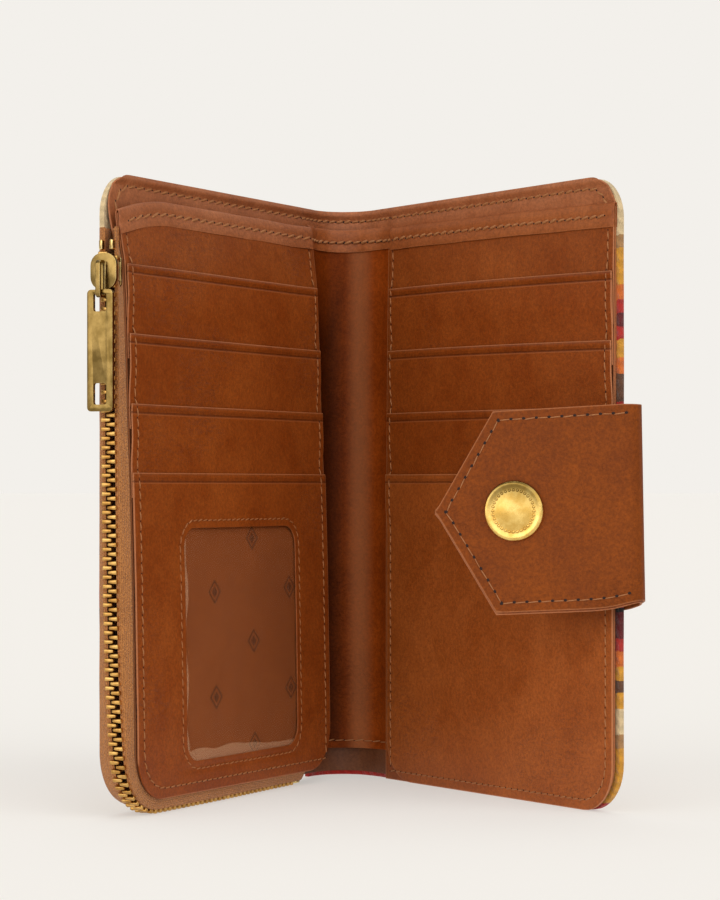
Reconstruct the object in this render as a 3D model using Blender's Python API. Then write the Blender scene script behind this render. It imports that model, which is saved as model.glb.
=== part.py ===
"""Bifold wallet that stands open on its bottom edges, built in metres with +Z up.

A cloth shell with leather linings, card pockets in four tiers on each cover, a note divider, a coin
pocket behind the front cover with an L-shaped zip, and a pointed snap tab on the back cover.
"""

import math

import bmesh
import bpy
from mathutils import Vector

# Covers and spine, seen from above. u runs from the fold to the free edge, n points into the wallet
COVER_HEIGHT = 0.152
COVER_LENGTH = 0.105
SPINE_WIDTH = 0.014
FRONT_OPEN_ANGLE = math.radians(27.5)
BACK_OPEN_ANGLE = math.radians(33.7)
FOLD_U = 0.003
SHELL_TOP_RADIUS = 0.010
SHELL_BOTTOM_RADIUS = 0.012

# Sheet thicknesses and the clearances between sheets
WOOL_THICKNESS = 0.0013
LEATHER_THICKNESS = 0.0004
CLOTH_THICKNESS = 0.0003
POCKET_CLOTH_THICKNESS = 0.0002
LAYER_GAP = 0.00015
SEAT_GAP = 0.0003
COIN_GAP = 0.0046
WOOL_FOLD_GAP = 0.0010
LINING_FOLD_GAP = 0.0016

# Card stack
STACK_START_U = 0.010
STACK_MARGIN = 0.001
STACK_BOTTOM_RADIUS = 0.011
TIER_DROPS = (0.0212, 0.0378, 0.0544, 0.0707)
STACK_CORNER = 0.0006
TIER_OVERLAP = 0.006
POCKET_CLOTH_DROP = 0.016

# Note divider and the strip folded over its top edge
DIVIDER_START_U = 0.0075
DIVIDER_DROP = 0.0055
BAND_LEG = 0.0058
BAND_THICKNESS = 0.00025
SPINE_DIVIDER_BOTTOM_Z = 0.0075
SPINE_DIVIDER_DROP = 0.0012
SPINE_SLACK = 0.0095
DIVIDER_SLACK = 0.0045

# Identity window in the lowest tier of the front cover
WINDOW_START_U = 0.026
WINDOW_EDGE_MARGIN = 0.0224
WINDOW_BOTTOM_Z = 0.0112
WINDOW_TOP_MARGIN = 0.0134
WINDOW_RADIUS = 0.005
PANE_THICKNESS = 0.0002

# Front lining, which meets the shell along the top and along the fold
LINING_RISE_END_U = 0.0145
LEAN_START_DROP = 0.024
LEAN_END_DROP = 0.002
STACK_LEAN = 0.0032

# Coin pocket cloth
POCKET_START_U = 0.016
COIN_POCKET_DROP = 0.028

# Zip chain and tapes. o runs outward from the shell's edge
CHAIN_STAND_OFF = 0.0028
TAPE_THICKNESS = 0.0004
TAPE_DROP = 0.013
TAPE_SEAM = 0.0055
TAPE_SHELF = 0.00325
TAPE_SHOULDER_RADIUS = 0.0006
TOOTH_PITCH = 0.00217
TOOTH_GAP = 0.0003
TOOTH_HEIGHT = 0.0016
TOOTH_OVERLAP = 0.00045
CHAIN_HALF_WIDTH = 0.0019
CORD_WIDTH = 0.0009
CORD_HEIGHT = 0.0009
CHAIN_DROP = 0.0187
CHAIN_END_U = 0.020
STOP_LENGTH = 0.0024
STOP_HEIGHT = 0.0019

# Zip slider and pull
SLIDER_DROP = 0.0235
SLIDER_HALF_LENGTH = 0.00425
SLIDER_HALF_WIDTH = 0.00355
SLIDER_PLATE = 0.0008
UNDER_PLATE = 0.0006
UNDER_HALF_WIDTH = 0.0030
UNDER_HALF_LENGTH = 0.0038
SLIDER_CORNER = 0.0029
UNDER_CORNER = 0.0012
FLANGE_WIDTH = 0.0007
FLANGE_HALF_LENGTH = 0.0022
WEDGE_HALF_WIDTH = 0.0007
WEDGE_LENGTH = 0.0026
BAIL_WIRE = 0.0007
BAIL_WIDTH = 0.0012
BAIL_ROOM = 0.0015
BAIL_CORNER = 0.0004
BAIL_TOP = 0.0025
BAIL_DROP = 0.0063
PULL_LENGTH = 0.0285
PULL_WIDTH = 0.0070
PULL_THICKNESS = 0.0009
PULL_CORNER = 0.0010
PULL_BAR = 0.0009
PULL_SLOT_WIDTH = 0.0036
PULL_SLOT_LENGTH = 0.0042
PULL_LOW_SLOT_LENGTH = 0.0050
PULL_LOW_MARGIN = 0.0016

# Snap tab
TAB_HEIGHT = 0.0485
TAB_BOTTOM_Z = 0.0485
TAB_ROOT_INSET = 0.019
TAB_BEND_STAND_OFF = 0.004
TAB_BEND_ANGLE = math.radians(138.7)
TAB_LEATHER = 0.00065
TAB_FLAP_LENGTH = 0.0457
TAB_POINT = 0.0144
TAB_CORNER = 0.003
TAB_HINGE_GAP = 0.0007
SNAP_FROM_BEND = 0.0264
CAP_RADIUS = 0.00715
CAP_HEIGHT = 0.0023
CAP_RIM = 0.0008
SNAP_STEM_RADIUS = 0.0016
SOCKET_RADIUS = 0.0056
SOCKET_HEIGHT = 0.0021
SOCKET_WALL = 0.0019
STUD_INSET = 0.014
STUD_BASE_RADIUS = 0.0054
STUD_BASE_HEIGHT = 0.0007
STUD_NECK_RADIUS = 0.0020
STUD_HEAD_RADIUS = 0.0026
STUD_HEIGHT = 0.0031
POST_DISC_RADIUS = 0.0040
POST_DISC_HEIGHT = 0.0005

# Overrun of every cutter, and counts of facets
OVERRUN = 0.001
CORNER_STEPS = 6
CURVE_STEPS = 16
ROUND_STEPS = 28

# Shares of a profile's own height or width, chosen by hand
CAP_PROFILE_shares = ((1.0, 0.0), (1.0, 0.36), (0.90, 0.52), (0.80, 0.42), (0.70, 0.55), (0.46, 0.86), (0.20, 0.98))
SHINGLE_ROW_shares = (0.0, 0.25, 0.5, 0.75, 1.0)
LEAN_ROW_shares = (0.0, 0.14, 0.28, 0.42, 0.56, 0.70, 0.84, 1.0)
RISE_COLUMN_shares = (0.0, 0.12, 0.26, 0.42, 0.58, 0.74, 0.88, 1.0)
STUD_WAIST_share = 0.62

# Places of the sheets along n, worked out from the shell inward
WOOL_N = -(WOOL_THICKNESS + SEAT_GAP + 2 * CLOTH_THICKNESS)
CLOTH_N = WOOL_N + WOOL_THICKNESS + SEAT_GAP
COIN_BACK_N = CLOTH_N + CLOTH_THICKNESS
INNER_CLOTH_N = COIN_BACK_N + COIN_GAP
FRONT_LINING_N = INNER_CLOTH_N + CLOTH_THICKNESS + LAYER_GAP
BACK_LINING_N = CLOTH_N
LAYER_PITCH = LEATHER_THICKNESS + LAYER_GAP
NOTE_GAP = BAND_THICKNESS + 2 * LAYER_GAP
LEAN_OUT_DROP = TIER_OVERLAP + SEAT_GAP
CHAIN_N = (COIN_BACK_N + INNER_CLOTH_N) / 2

# Places along u and z, worked out from the covers' length and height
STACK_END_U = COVER_LENGTH - STACK_MARGIN
TIER_TOPS_Z = tuple(COVER_HEIGHT - drop for drop in TIER_DROPS)
POCKET_CLOTH_TOP_Z = COVER_HEIGHT - POCKET_CLOTH_DROP
DIVIDER_TOP_Z = COVER_HEIGHT - DIVIDER_DROP
WINDOW_END_U = STACK_END_U - WINDOW_EDGE_MARGIN
WINDOW_TOP_Z = TIER_TOPS_Z[-1] - WINDOW_TOP_MARGIN
LINING_LEAN_START_Z = COVER_HEIGHT - LEAN_START_DROP
LINING_LEAN_END_Z = COVER_HEIGHT - LEAN_END_DROP
POCKET_TOP_Z = COVER_HEIGHT - COIN_POCKET_DROP
TAPE_TOP_Z = COVER_HEIGHT - TAPE_DROP
CHAIN_TOP_Z = COVER_HEIGHT - CHAIN_DROP
SLIDER_Z = COVER_HEIGHT - SLIDER_DROP
TAB_ROOT_U = COVER_LENGTH - TAB_ROOT_INSET
TAB_BEND_U = COVER_LENGTH + TAB_BEND_STAND_OFF
STUD_U = COVER_LENGTH - STUD_INSET
FRONT_BASE_Z = CHAIN_STAND_OFF + TOOTH_HEIGHT / 2
BAND_LOW_Z = DIVIDER_TOP_Z + LAYER_GAP + BAND_THICKNESS - BAND_LEG
BASE_TOP_Z = BAND_LOW_Z - SEAT_GAP
UNDER_DEPTH = TOOTH_HEIGHT / 2 + SEAT_GAP + UNDER_PLATE
WEDGE_TOP = UNDER_HALF_LENGTH - UNDER_CORNER / 2
TEETH_TOP_Z = SLIDER_Z + WEDGE_TOP - WEDGE_LENGTH - SEAT_GAP
PULL_HINGE_DROP = BAIL_DROP - BAIL_WIRE - BAIL_ROOM / 2
TAB_IN_RADIUS = SEAT_GAP - WOOL_N
TAB_OUT_RADIUS = TAB_IN_RADIUS + LEATHER_THICKNESS + SEAT_GAP + TAB_LEATHER
TAB_MID_Z = TAB_BOTTOM_Z + TAB_HEIGHT / 2


def clear_scene():
    for obj in list(bpy.data.objects):
        bpy.data.objects.remove(obj, do_unlink=True)


def material(name, colour, roughness, metallic=0.0, alpha=1.0):
    mat = bpy.data.materials.new(name)
    mat.use_nodes = True
    shader = mat.node_tree.nodes["Principled BSDF"]
    shader.inputs["Base Color"].default_value = (*colour, 1.0)
    shader.inputs["Roughness"].default_value = roughness
    shader.inputs["Metallic"].default_value = metallic
    shader.inputs["Alpha"].default_value = alpha
    mat.diffuse_color = (*colour, alpha)
    return mat


def empty(name, parent, place, turn=0.0):
    obj = bpy.data.objects.new(name, None)
    bpy.context.scene.collection.objects.link(obj)
    obj.parent = parent
    obj.location = place
    obj.rotation_euler = (0.0, 0.0, turn)
    return obj


def finish(name, bm, home, mat, smooth=False):
    """Makes the object from a bmesh. home is (parent, location)."""
    bmesh.ops.recalc_face_normals(bm, faces=bm.faces)
    mesh = bpy.data.meshes.new(name)
    bm.to_mesh(mesh)
    bm.free()
    mesh.materials.append(mat)
    if smooth:
        mesh.shade_smooth()
        mesh.set_sharp_from_angle(angle=math.radians(35))
    obj = bpy.data.objects.new(name, mesh)
    bpy.context.scene.collection.objects.link(obj)
    obj.parent = home[0]
    obj.location = home[1]
    return obj


def skin(bm, rings):
    """A closed solid through rings of equal length, with both ends capped."""
    rows = [[bm.verts.new(point) for point in ring] for ring in rings]
    for low, high in zip(rows, rows[1:]):
        for i in range(len(low)):
            j = (i + 1) % len(low)
            bm.faces.new((low[i], low[j], high[j], high[i]))
    bm.faces.new(rows[0])
    bm.faces.new(rows[-1])
    return rows


def combine(obj, tool, operation):
    tool.hide_render = True
    tool.display_type = "WIRE"
    change = obj.modifiers.new(operation.title(), "BOOLEAN")
    change.operation = operation
    change.object = tool
    change.solver = "EXACT"


def rounded(corners, radii):
    """Corner points of a polygon with each corner rounded to its own radius."""
    points = []
    count = len(corners)
    for i, radius in enumerate(radii):
        here = Vector(corners[i])
        before = (Vector(corners[i - 1]) - here).normalized()
        after = (Vector(corners[(i + 1) % count]) - here).normalized()
        if not radius:
            points.append(tuple(here))
            continue
        half = before.angle(after) / 2
        middle = here + (before + after).normalized() * radius / math.sin(half)
        start = here + before * radius / math.tan(half) - middle
        end = here + after * radius / math.tan(half) - middle
        sweep = math.pi - 2 * half
        for step in range(CORNER_STEPS + 1):
            share = step / CORNER_STEPS
            mix = start * math.sin((1 - share) * sweep) + end * math.sin(share * sweep)
            points.append(tuple(middle + mix / math.sin(sweep)))
    return points


class Cover:
    """One cover's own frame: a hinge empty with X along u, and the side on which n lies."""

    def __init__(self, name, root, corner, angle, side):
        self.side = side
        self.along = Vector((-side * math.sin(angle), -math.cos(angle)))
        self.inward = Vector((side * math.cos(angle), -math.sin(angle)))
        spot = Vector(corner) + self.along * FOLD_U + self.inward * WOOL_N
        turn = math.atan2(self.along.y, self.along.x)
        self.hinge = empty(name, root, (spot.x, spot.y, 0), turn)
        self.home = (self.hinge, (-FOLD_U, -side * WOOL_N, 0))
        self.corner = Vector(corner)

    def point(self, u, n, z):
        return Vector((u, self.side * n, z))

    def plan(self, u, n):
        """The same place in the whole wallet's plan."""
        return self.corner + self.along * u + self.inward * n


def levels(low, high, low_radius, high_radius, more=()):
    """Heights at which a sheet gets a row of points: fine at its rounded corners."""
    turns = [math.cos(math.pi / 2 * k / CORNER_STEPS) for k in range(CORNER_STEPS + 1)]
    found = {low, high}
    if low_radius:
        found |= {low + low_radius * (1 - turn) for turn in turns}
    if high_radius:
        found |= {high - high_radius * (1 - turn) for turn in turns}
    found |= {z for z in more if low < z < high}
    rows = sorted(found)
    close = LAYER_GAP / 2
    return [z for i, z in enumerate(rows) if not i or z - rows[i - 1] > close or z == high]


def edge_at(z, end, low, high, low_radius, high_radius):
    """Where the free edge of a sheet with rounded corners is at one height."""
    for depth, radius in ((z - low, low_radius), (high - z, high_radius)):
        if radius and depth < radius:
            return end - radius + math.sqrt(max(radius**2 - (radius - depth) ** 2, 0))
    return end


def ease(t):
    t = min(max(t, 0), 1)
    return t * t * (3 - 2 * t)


def lean(z):
    return ease((z - LINING_LEAN_START_Z) / (LINING_LEAN_END_Z - LINING_LEAN_START_Z))


LEAN_LEVELS = tuple(
    LINING_LEAN_START_Z + share * (LINING_LEAN_END_Z - LINING_LEAN_START_Z)
    for share in LEAN_ROW_shares
)


def sheet(name, cover, mat, start, end, low, high, back, thickness, radii=(0, 0), columns=None, rows=()):
    """A sheet whose back face lies at back(u, z), with its free corners rounded."""
    bm = bmesh.new()
    rings = []
    bend = callable(back)
    for z in levels(low, high, radii[0], radii[1], (*LEAN_LEVELS, *rows) if bend else ()):
        edge = edge_at(z, end, low, high, radii[0], radii[1])
        row = [start, *[u for u in (columns or ()) if start < u < edge], edge]
        place = [back(u, z) if bend else back for u in row]
        ring = [cover.point(u, n, z) for u, n in zip(row, place)]
        ring += [cover.point(u, n + thickness, z) for u, n in reversed(list(zip(row, place)))]
        rings.append(ring)
    skin(bm, rings)
    return finish(name, bm, cover.home, mat)


def plate(name, home, mat, outline, low, high, place=None, hole=None):
    """A flat plate: an outline pulled from low to high, with a like outline as its opening."""
    place = place or (lambda a, b, c: Vector((a, c, b)))
    bm = bmesh.new()
    loops = []
    for level in (low, high):
        for shape in (outline, hole):
            if shape:
                loops.append([bm.verts.new(place(a, b, level)) for a, b in shape])
    if hole:
        outer_low, inner_low, outer_high, inner_high = loops
        pairs = (
            (outer_low, outer_high),
            (inner_high, inner_low),
            (outer_high, inner_high),
            (inner_low, outer_low),
        )
    else:
        outer_low, outer_high = loops
        pairs = ((outer_low, outer_high),)
        bm.faces.new(outer_low)
        bm.faces.new(outer_high)
    for one, other in pairs:
        for i in range(len(one)):
            j = (i + 1) % len(one)
            bm.faces.new((one[i], one[j], other[j], other[i]))
    return finish(name, bm, home, mat)


def turned(name, home, mat, profile, axis, steps=ROUND_STEPS):
    """A solid of revolution from (radius, height) points: off the axis all round, it is a ring."""
    side = axis.orthogonal().normalized()
    other = axis.cross(side)
    bm = bmesh.new()
    rows = []
    for radius, height in profile:
        if not radius:
            rows.append([bm.verts.new(axis * height)])
            continue
        turns = [2 * math.pi * k / steps for k in range(steps)]
        ring = [axis * height + (side * math.cos(a) + other * math.sin(a)) * radius for a in turns]
        rows.append([bm.verts.new(point) for point in ring])
    around = rows[1:] + rows[:1] if profile[0][0] else rows[1:]
    for low, high in zip(rows, around):
        for i in range(steps):
            j = (i + 1) % steps
            if len(low) == 1:
                bm.faces.new((low[0], high[j], high[i]))
            elif len(high) == 1:
                bm.faces.new((low[i], low[j], high[0]))
            else:
                bm.faces.new((low[i], low[j], high[j], high[i]))
    return finish(name, bm, home, mat, smooth=True)


def at(cover, u, n, z):
    """A home at one place of a cover."""
    return (cover.hinge, Vector(cover.home[1]) + cover.point(u, n, z))


def drum(name, home, radius, low, high, axis, mat):
    return turned(name, home, mat, ((0, low), (radius, low), (radius, high), (0, high)), axis)


def cut_hole(obj, cover, u, z, radius, low, high, mat):
    """A round hole through a cover's sheet, from low to high along n."""
    axis = cover.point(0, 1, 0)
    tool = drum(obj.name + "_cutter", at(cover, u, 0, z), radius, low - OVERRUN, high + OVERRUN, axis, mat)
    combine(obj, tool, "DIFFERENCE")


def fold_path(front, back, u, front_n, back_n, slack):
    """Plan points of a sheet that runs round the spine from one cover's line to the other's."""
    first = front.plan(u, front_n)
    last = back.plan(u, back_n)
    handles = (first, first - front.along * slack, last - back.along * slack, last)
    points = []
    for step in range(CURVE_STEPS + 1):
        t = step / CURVE_STEPS
        parts = ((1 - t) ** 3, 3 * t * (1 - t) ** 2, 3 * t * t * (1 - t), t**3)
        points.append(sum((h * part for h, part in zip(handles, parts)), Vector((0, 0))))
    return points


def wrapped(name, root, mat, path, section):
    """A strip that follows a plan path. section is a closed list of (depth towards the room, z)."""
    bm = bmesh.new()
    rings = []
    for i, here in enumerate(path):
        ahead = (path[min(i + 1, len(path) - 1)] - path[max(i - 1, 0)]).normalized()
        front = Vector((ahead.y, -ahead.x))
        rings.append([(*(here + front * depth), z) for depth, z in section])
    skin(bm, rings)
    return finish(name, bm, (root, (0, 0, 0)), mat)


def folded_strip(back, front, low, top, shift):
    """Section of a strip folded over a sheet's top edge, with its legs either side of the sheet."""
    outer = (back - LAYER_GAP - BAND_THICKNESS, front + LAYER_GAP + BAND_THICKNESS)
    inner = (back - LAYER_GAP, front + LAYER_GAP)
    under = top - BAND_THICKNESS
    corners = (
        (outer[0], low), (outer[0], top), (outer[1], top), (outer[1], low),
        (inner[1], low), (inner[1], under), (inner[0], under), (inner[0], low),
    )
    return [(depth + shift(z), z) for depth, z in corners]


def build_spine(root, front, back, mats):
    wool = WOOL_THICKNESS / 2
    path = fold_path(front, back, FOLD_U - WOOL_FOLD_GAP / 2, WOOL_N + wool, WOOL_N + wool, SPINE_SLACK)
    section = ((-wool, 0), (wool, 0), (wool, COVER_HEIGHT), (-wool, COVER_HEIGHT))
    wrapped("spine_wool", root, mats["wool"], path, section)
    half = LEATHER_THICKNESS / 2
    lining_n = BACK_LINING_N + half
    shorter = fold_path(front, back, FOLD_U - LINING_FOLD_GAP / 2, lining_n, lining_n, 0)
    slack = SPINE_SLACK * (shorter[-1] - shorter[0]).length / (path[-1] - path[0]).length
    path = fold_path(front, back, FOLD_U - LINING_FOLD_GAP / 2, lining_n, lining_n, slack)
    section = ((-half, 0), (half, 0), (half, COVER_HEIGHT), (-half, COVER_HEIGHT))
    wrapped("spine_lining", root, mats["leather_dark"], path, section)
    centre_n = lining_n + half + SEAT_GAP + LAYER_GAP + BAND_THICKNESS + half
    path = fold_path(front, back, FOLD_U - LINING_FOLD_GAP / 2, centre_n, centre_n, DIVIDER_SLACK)
    top = DIVIDER_TOP_Z - SPINE_DIVIDER_DROP
    low = SPINE_DIVIDER_BOTTOM_Z
    section = ((-half, low), (half, low), (half, top), (-half, top))
    wrapped("spine_divider", root, mats["leather"], path, section)
    low = BAND_LOW_Z - SPINE_DIVIDER_DROP
    section = folded_strip(-half, half, low, low + BAND_LEG, lambda z: 0)
    wrapped("spine_divider_band", root, mats["leather"], path, section)


def build_cover_stack(cover, prefix, base_z, lining_n, mats):
    """The note divider, its folded strip, the card base and the tiers of one cover."""
    is_front = prefix == "front"
    step = STACK_LEAN if is_front else 0

    def shift(z):
        return -step * lean(z)

    def layer(name, start, low, high, n, thickness, radius, mat):
        back = (lambda u, z: n + shift(z)) if is_front else n
        return sheet(name, cover, mat, start, STACK_END_U, low, high, back, thickness, (radius, 0))

    divider_n = lining_n + LEATHER_THICKNESS + NOTE_GAP
    layer(
        prefix + "_divider", DIVIDER_START_U, base_z, DIVIDER_TOP_Z,
        divider_n, LEATHER_THICKNESS, STACK_BOTTOM_RADIUS, mats["leather"],
    )
    section = folded_strip(divider_n, divider_n + LEATHER_THICKNESS, BAND_LOW_Z, BAND_LOW_Z + BAND_LEG, shift)
    bm = bmesh.new()
    skin(bm, [[cover.point(u, n, z) for n, z in section] for u in (DIVIDER_START_U, STACK_END_U)])
    finish(prefix + "_divider_band", bm, cover.home, mats["leather"])
    cloth_n = divider_n + LAYER_PITCH
    layer(
        prefix + "_pocket_cloth", STACK_START_U, base_z, POCKET_CLOTH_TOP_Z,
        cloth_n, POCKET_CLOTH_THICKNESS, STACK_BOTTOM_RADIUS, mats["cloth"],
    )
    n = cloth_n + POCKET_CLOTH_THICKNESS + LAYER_GAP
    low = TIER_TOPS_Z[0] - TIER_OVERLAP
    layer(
        prefix + "_card_base", STACK_START_U, low, BASE_TOP_Z,
        n, LEATHER_THICKNESS, 0, mats["leather"],
    )
    for number, top in enumerate(TIER_TOPS_Z[:-1], 1):
        turn_z = TIER_TOPS_Z[number] + SEAT_GAP
        sheet(
            f"{prefix}_card_tier_{number}", cover, mats["leather"], STACK_START_U, STACK_END_U,
            TIER_TOPS_Z[number] - TIER_OVERLAP, top,
            shingle(n, turn_z, top, shift), LEATHER_THICKNESS, (0, 0), None, shingle_levels(turn_z, top),
        )
    top = TIER_TOPS_Z[-1]
    if is_front:
        layer(
            "id_pocket_lining", STACK_START_U, base_z, top - TIER_OVERLAP - SEAT_GAP,
            n, CLOTH_THICKNESS, STACK_BOTTOM_RADIUS, mats["cloth"],
        )
        build_window(cover, base_z, top, n + LAYER_PITCH, mats)
        return
    turn_z = 2 * top - TIER_TOPS_Z[-2]
    sheet(
        prefix + "_card_tier_4", cover, mats["leather"], STACK_START_U, STACK_END_U, base_z, top,
        shingle(n, turn_z, top, shift), LEATHER_THICKNESS, (STACK_BOTTOM_RADIUS, 0), None,
        shingle_levels(turn_z, top),
    )


def shingle(n, turn_z, top, shift):
    """Back face of a tier that lies back below turn_z and leans out to the next layer at its top."""
    def back(u, z):
        return n + LAYER_PITCH * ease((z - turn_z) / (top - LEAN_OUT_DROP - turn_z)) + shift(z)

    return back


def shingle_levels(turn_z, top):
    return tuple(turn_z + share * (top - LEAN_OUT_DROP - turn_z) for share in SHINGLE_ROW_shares)


def frame_outline(start, end, low, high, radii):
    return rounded(((start, low), (end, low), (end, high), (start, high)), radii)


def build_window(cover, base_z, top, n, mats):
    """The lowest front tier: a leather frame round a clear pane."""
    def place(a, b, level):
        return cover.point(a, level, b)

    corner = STACK_CORNER
    outline = frame_outline(
        STACK_START_U, STACK_END_U, base_z, top, (corner, STACK_BOTTOM_RADIUS, corner, corner)
    )
    opening = frame_outline(WINDOW_START_U, WINDOW_END_U, WINDOW_BOTTOM_Z, WINDOW_TOP_Z, (WINDOW_RADIUS,) * 4)
    plate("id_window_pocket", cover.home, mats["leather"], outline, n, n + LEATHER_THICKNESS, place, opening)
    pane = frame_outline(
        WINDOW_START_U + SEAT_GAP, WINDOW_END_U - SEAT_GAP,
        WINDOW_BOTTOM_Z + SEAT_GAP, WINDOW_TOP_Z - SEAT_GAP, (WINDOW_RADIUS - SEAT_GAP,) * 4,
    )
    plate("id_window", cover.home, mats["clear"], pane, n, n + PANE_THICKNESS, place)


def build_front_shell(cover, mats):
    """Cloth panel, both walls of the coin pocket, and the leather lining in front of it."""
    start = FOLD_U + WOOL_FOLD_GAP / 2
    radii = (SHELL_BOTTOM_RADIUS, SHELL_TOP_RADIUS)
    wool = sheet(
        "front_cover_wool", cover, mats["wool"], start, COVER_LENGTH,
        FRONT_BASE_Z, COVER_HEIGHT, WOOL_N, WOOL_THICKNESS, radii,
    )
    cut_hole(
        wool, cover, STUD_U, TAB_MID_Z, SNAP_STEM_RADIUS + SEAT_GAP,
        WOOL_N, WOOL_N + WOOL_THICKNESS, mats["wool"],
    )
    trim = TAPE_SEAM + SEAT_GAP
    cloths = {}
    for name, n in (("coin_pocket_outer_lining", CLOTH_N), ("coin_pocket_inner_lining", INNER_CLOTH_N)):
        cloths[name] = sheet(
            name, cover, mats["cloth"], POCKET_START_U, COVER_LENGTH - trim,
            FRONT_BASE_Z + trim, POCKET_TOP_Z, n, CLOTH_THICKNESS, (SHELL_BOTTOM_RADIUS - trim, 0),
        )
    cut_hole(
        cloths["coin_pocket_outer_lining"], cover, STUD_U, TAB_MID_Z, POST_DISC_RADIUS + SEAT_GAP,
        CLOTH_N, CLOTH_N + CLOTH_THICKNESS, mats["cloth"],
    )
    rise_start = FOLD_U + LINING_FOLD_GAP / 2
    span = LINING_RISE_END_U - rise_start

    def back(u, z):
        lift = (FRONT_LINING_N - BACK_LINING_N) * (1 - lean(z))
        return BACK_LINING_N + lift * ease((u - rise_start) / span)

    columns = [rise_start + share * span for share in RISE_COLUMN_shares]
    sheet(
        "front_lining", cover, mats["leather_dark"], rise_start, STACK_END_U,
        FRONT_BASE_Z, COVER_HEIGHT, back, LEATHER_THICKNESS, radii, columns,
    )


def build_back_shell(cover, mats):
    radii = (SHELL_BOTTOM_RADIUS, SHELL_TOP_RADIUS)
    sheet(
        "back_cover_wool", cover, mats["wool"], FOLD_U + WOOL_FOLD_GAP / 2, COVER_LENGTH,
        0, COVER_HEIGHT, WOOL_N, WOOL_THICKNESS, radii,
    )
    sheet(
        "back_lining", cover, mats["leather_dark"], FOLD_U + LINING_FOLD_GAP / 2, STACK_END_U,
        0, COVER_HEIGHT, BACK_LINING_N, LEATHER_THICKNESS, radii,
    )


CHAIN_U = COVER_LENGTH + CHAIN_STAND_OFF
CHAIN_TURN_RADIUS = SHELL_BOTTOM_RADIUS + CHAIN_STAND_OFF
CHAIN_TURN_Z = FRONT_BASE_Z + SHELL_BOTTOM_RADIUS
CHAIN_TURN_START = TAPE_TOP_Z - CHAIN_TURN_Z
CHAIN_TURN_END = CHAIN_TURN_START + CHAIN_TURN_RADIUS * math.pi / 2
CHAIN_END = CHAIN_TURN_END + COVER_LENGTH - SHELL_BOTTOM_RADIUS - CHAIN_END_U


def chain_frame(s):
    """Place and outward direction in (u, z) at a run s along the chain from the tapes' tops."""
    if s <= CHAIN_TURN_START:
        return Vector((CHAIN_U, TAPE_TOP_Z - s)), Vector((1, 0))
    turn = min((s - CHAIN_TURN_START) / CHAIN_TURN_RADIUS, math.pi / 2)
    out = Vector((math.cos(turn), -math.sin(turn)))
    middle = Vector((COVER_LENGTH - SHELL_BOTTOM_RADIUS, CHAIN_TURN_Z))
    past = max(s - CHAIN_TURN_END, 0)
    return middle + out * CHAIN_TURN_RADIUS - Vector((past, 0)), out


def across(cover, s, section):
    """A ring of points across the chain at a run s, from (outward, n) pairs."""
    place, out = chain_frame(s)
    spots = [(place + out * o, n) for o, n in section]
    return [cover.point(spot.x, n, spot.y) for spot, n in spots]


def tape_section(way, z):
    """A tape's section beside the chain: a flat shelf, a rounded shoulder and the sewn seam."""
    radius = TAPE_SHOULDER_RADIUS
    if way > 0:
        seam = FRONT_LINING_N - LAYER_GAP - TAPE_THICKNESS / 2
        seam += (BACK_LINING_N - FRONT_LINING_N) * lean(z)
    else:
        seam = CLOTH_N + CLOTH_THICKNESS / 2
    shelf = CHAIN_N + way * TAPE_SHELF
    points = [Vector((0, CHAIN_N + way * (CHAIN_HALF_WIDTH + SEAT_GAP))), Vector((0, shelf))]
    points.append(Vector((-radius * (1 - math.cos(math.pi / 4)), shelf + way * radius * math.sin(math.pi / 4))))
    points.append(Vector((-radius, shelf + way * radius)))
    points.append(Vector((-UNDER_DEPTH, shelf + way * radius)))
    points.append(Vector((TAPE_THICKNESS - CHAIN_STAND_OFF, seam + way * TAPE_THICKNESS)))
    points.append(Vector((-CHAIN_STAND_OFF, seam)))
    points.append(Vector((-CHAIN_STAND_OFF - TAPE_SEAM, seam)))
    sides = ([], [])
    for i, here in enumerate(points):
        before = (here - points[max(i - 1, 0)]).normalized()
        after = (points[min(i + 1, len(points) - 1)] - here).normalized()
        along = (before + after).normalized()
        half = TAPE_THICKNESS / 2
        sides[0].append(here + Vector((along.y, -along.x)) * half)
        sides[1].append(here - Vector((along.y, -along.x)) * half)
    return sides[0] + sides[1][::-1]


def build_zip_tapes(cover, mats):
    end = CHAIN_END + SEAT_GAP + STOP_LENGTH
    runs = {0, CHAIN_TURN_START, CHAIN_TURN_END, end}
    runs |= {TAPE_TOP_Z - z for z in LEAN_LEVELS if z < TAPE_TOP_Z}
    turn = CHAIN_TURN_END - CHAIN_TURN_START
    runs |= {CHAIN_TURN_START + turn * k / CORNER_STEPS for k in range(1, CORNER_STEPS)}
    for name, way in (("zip_tape_outer", -1), ("zip_tape_inner", 1)):
        bm = bmesh.new()
        rings = [across(cover, s, tape_section(way, TAPE_TOP_Z - s)) for s in sorted(runs)]
        skin(bm, rings)
        finish(name, bm, cover.home, mats["tape"])


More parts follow.
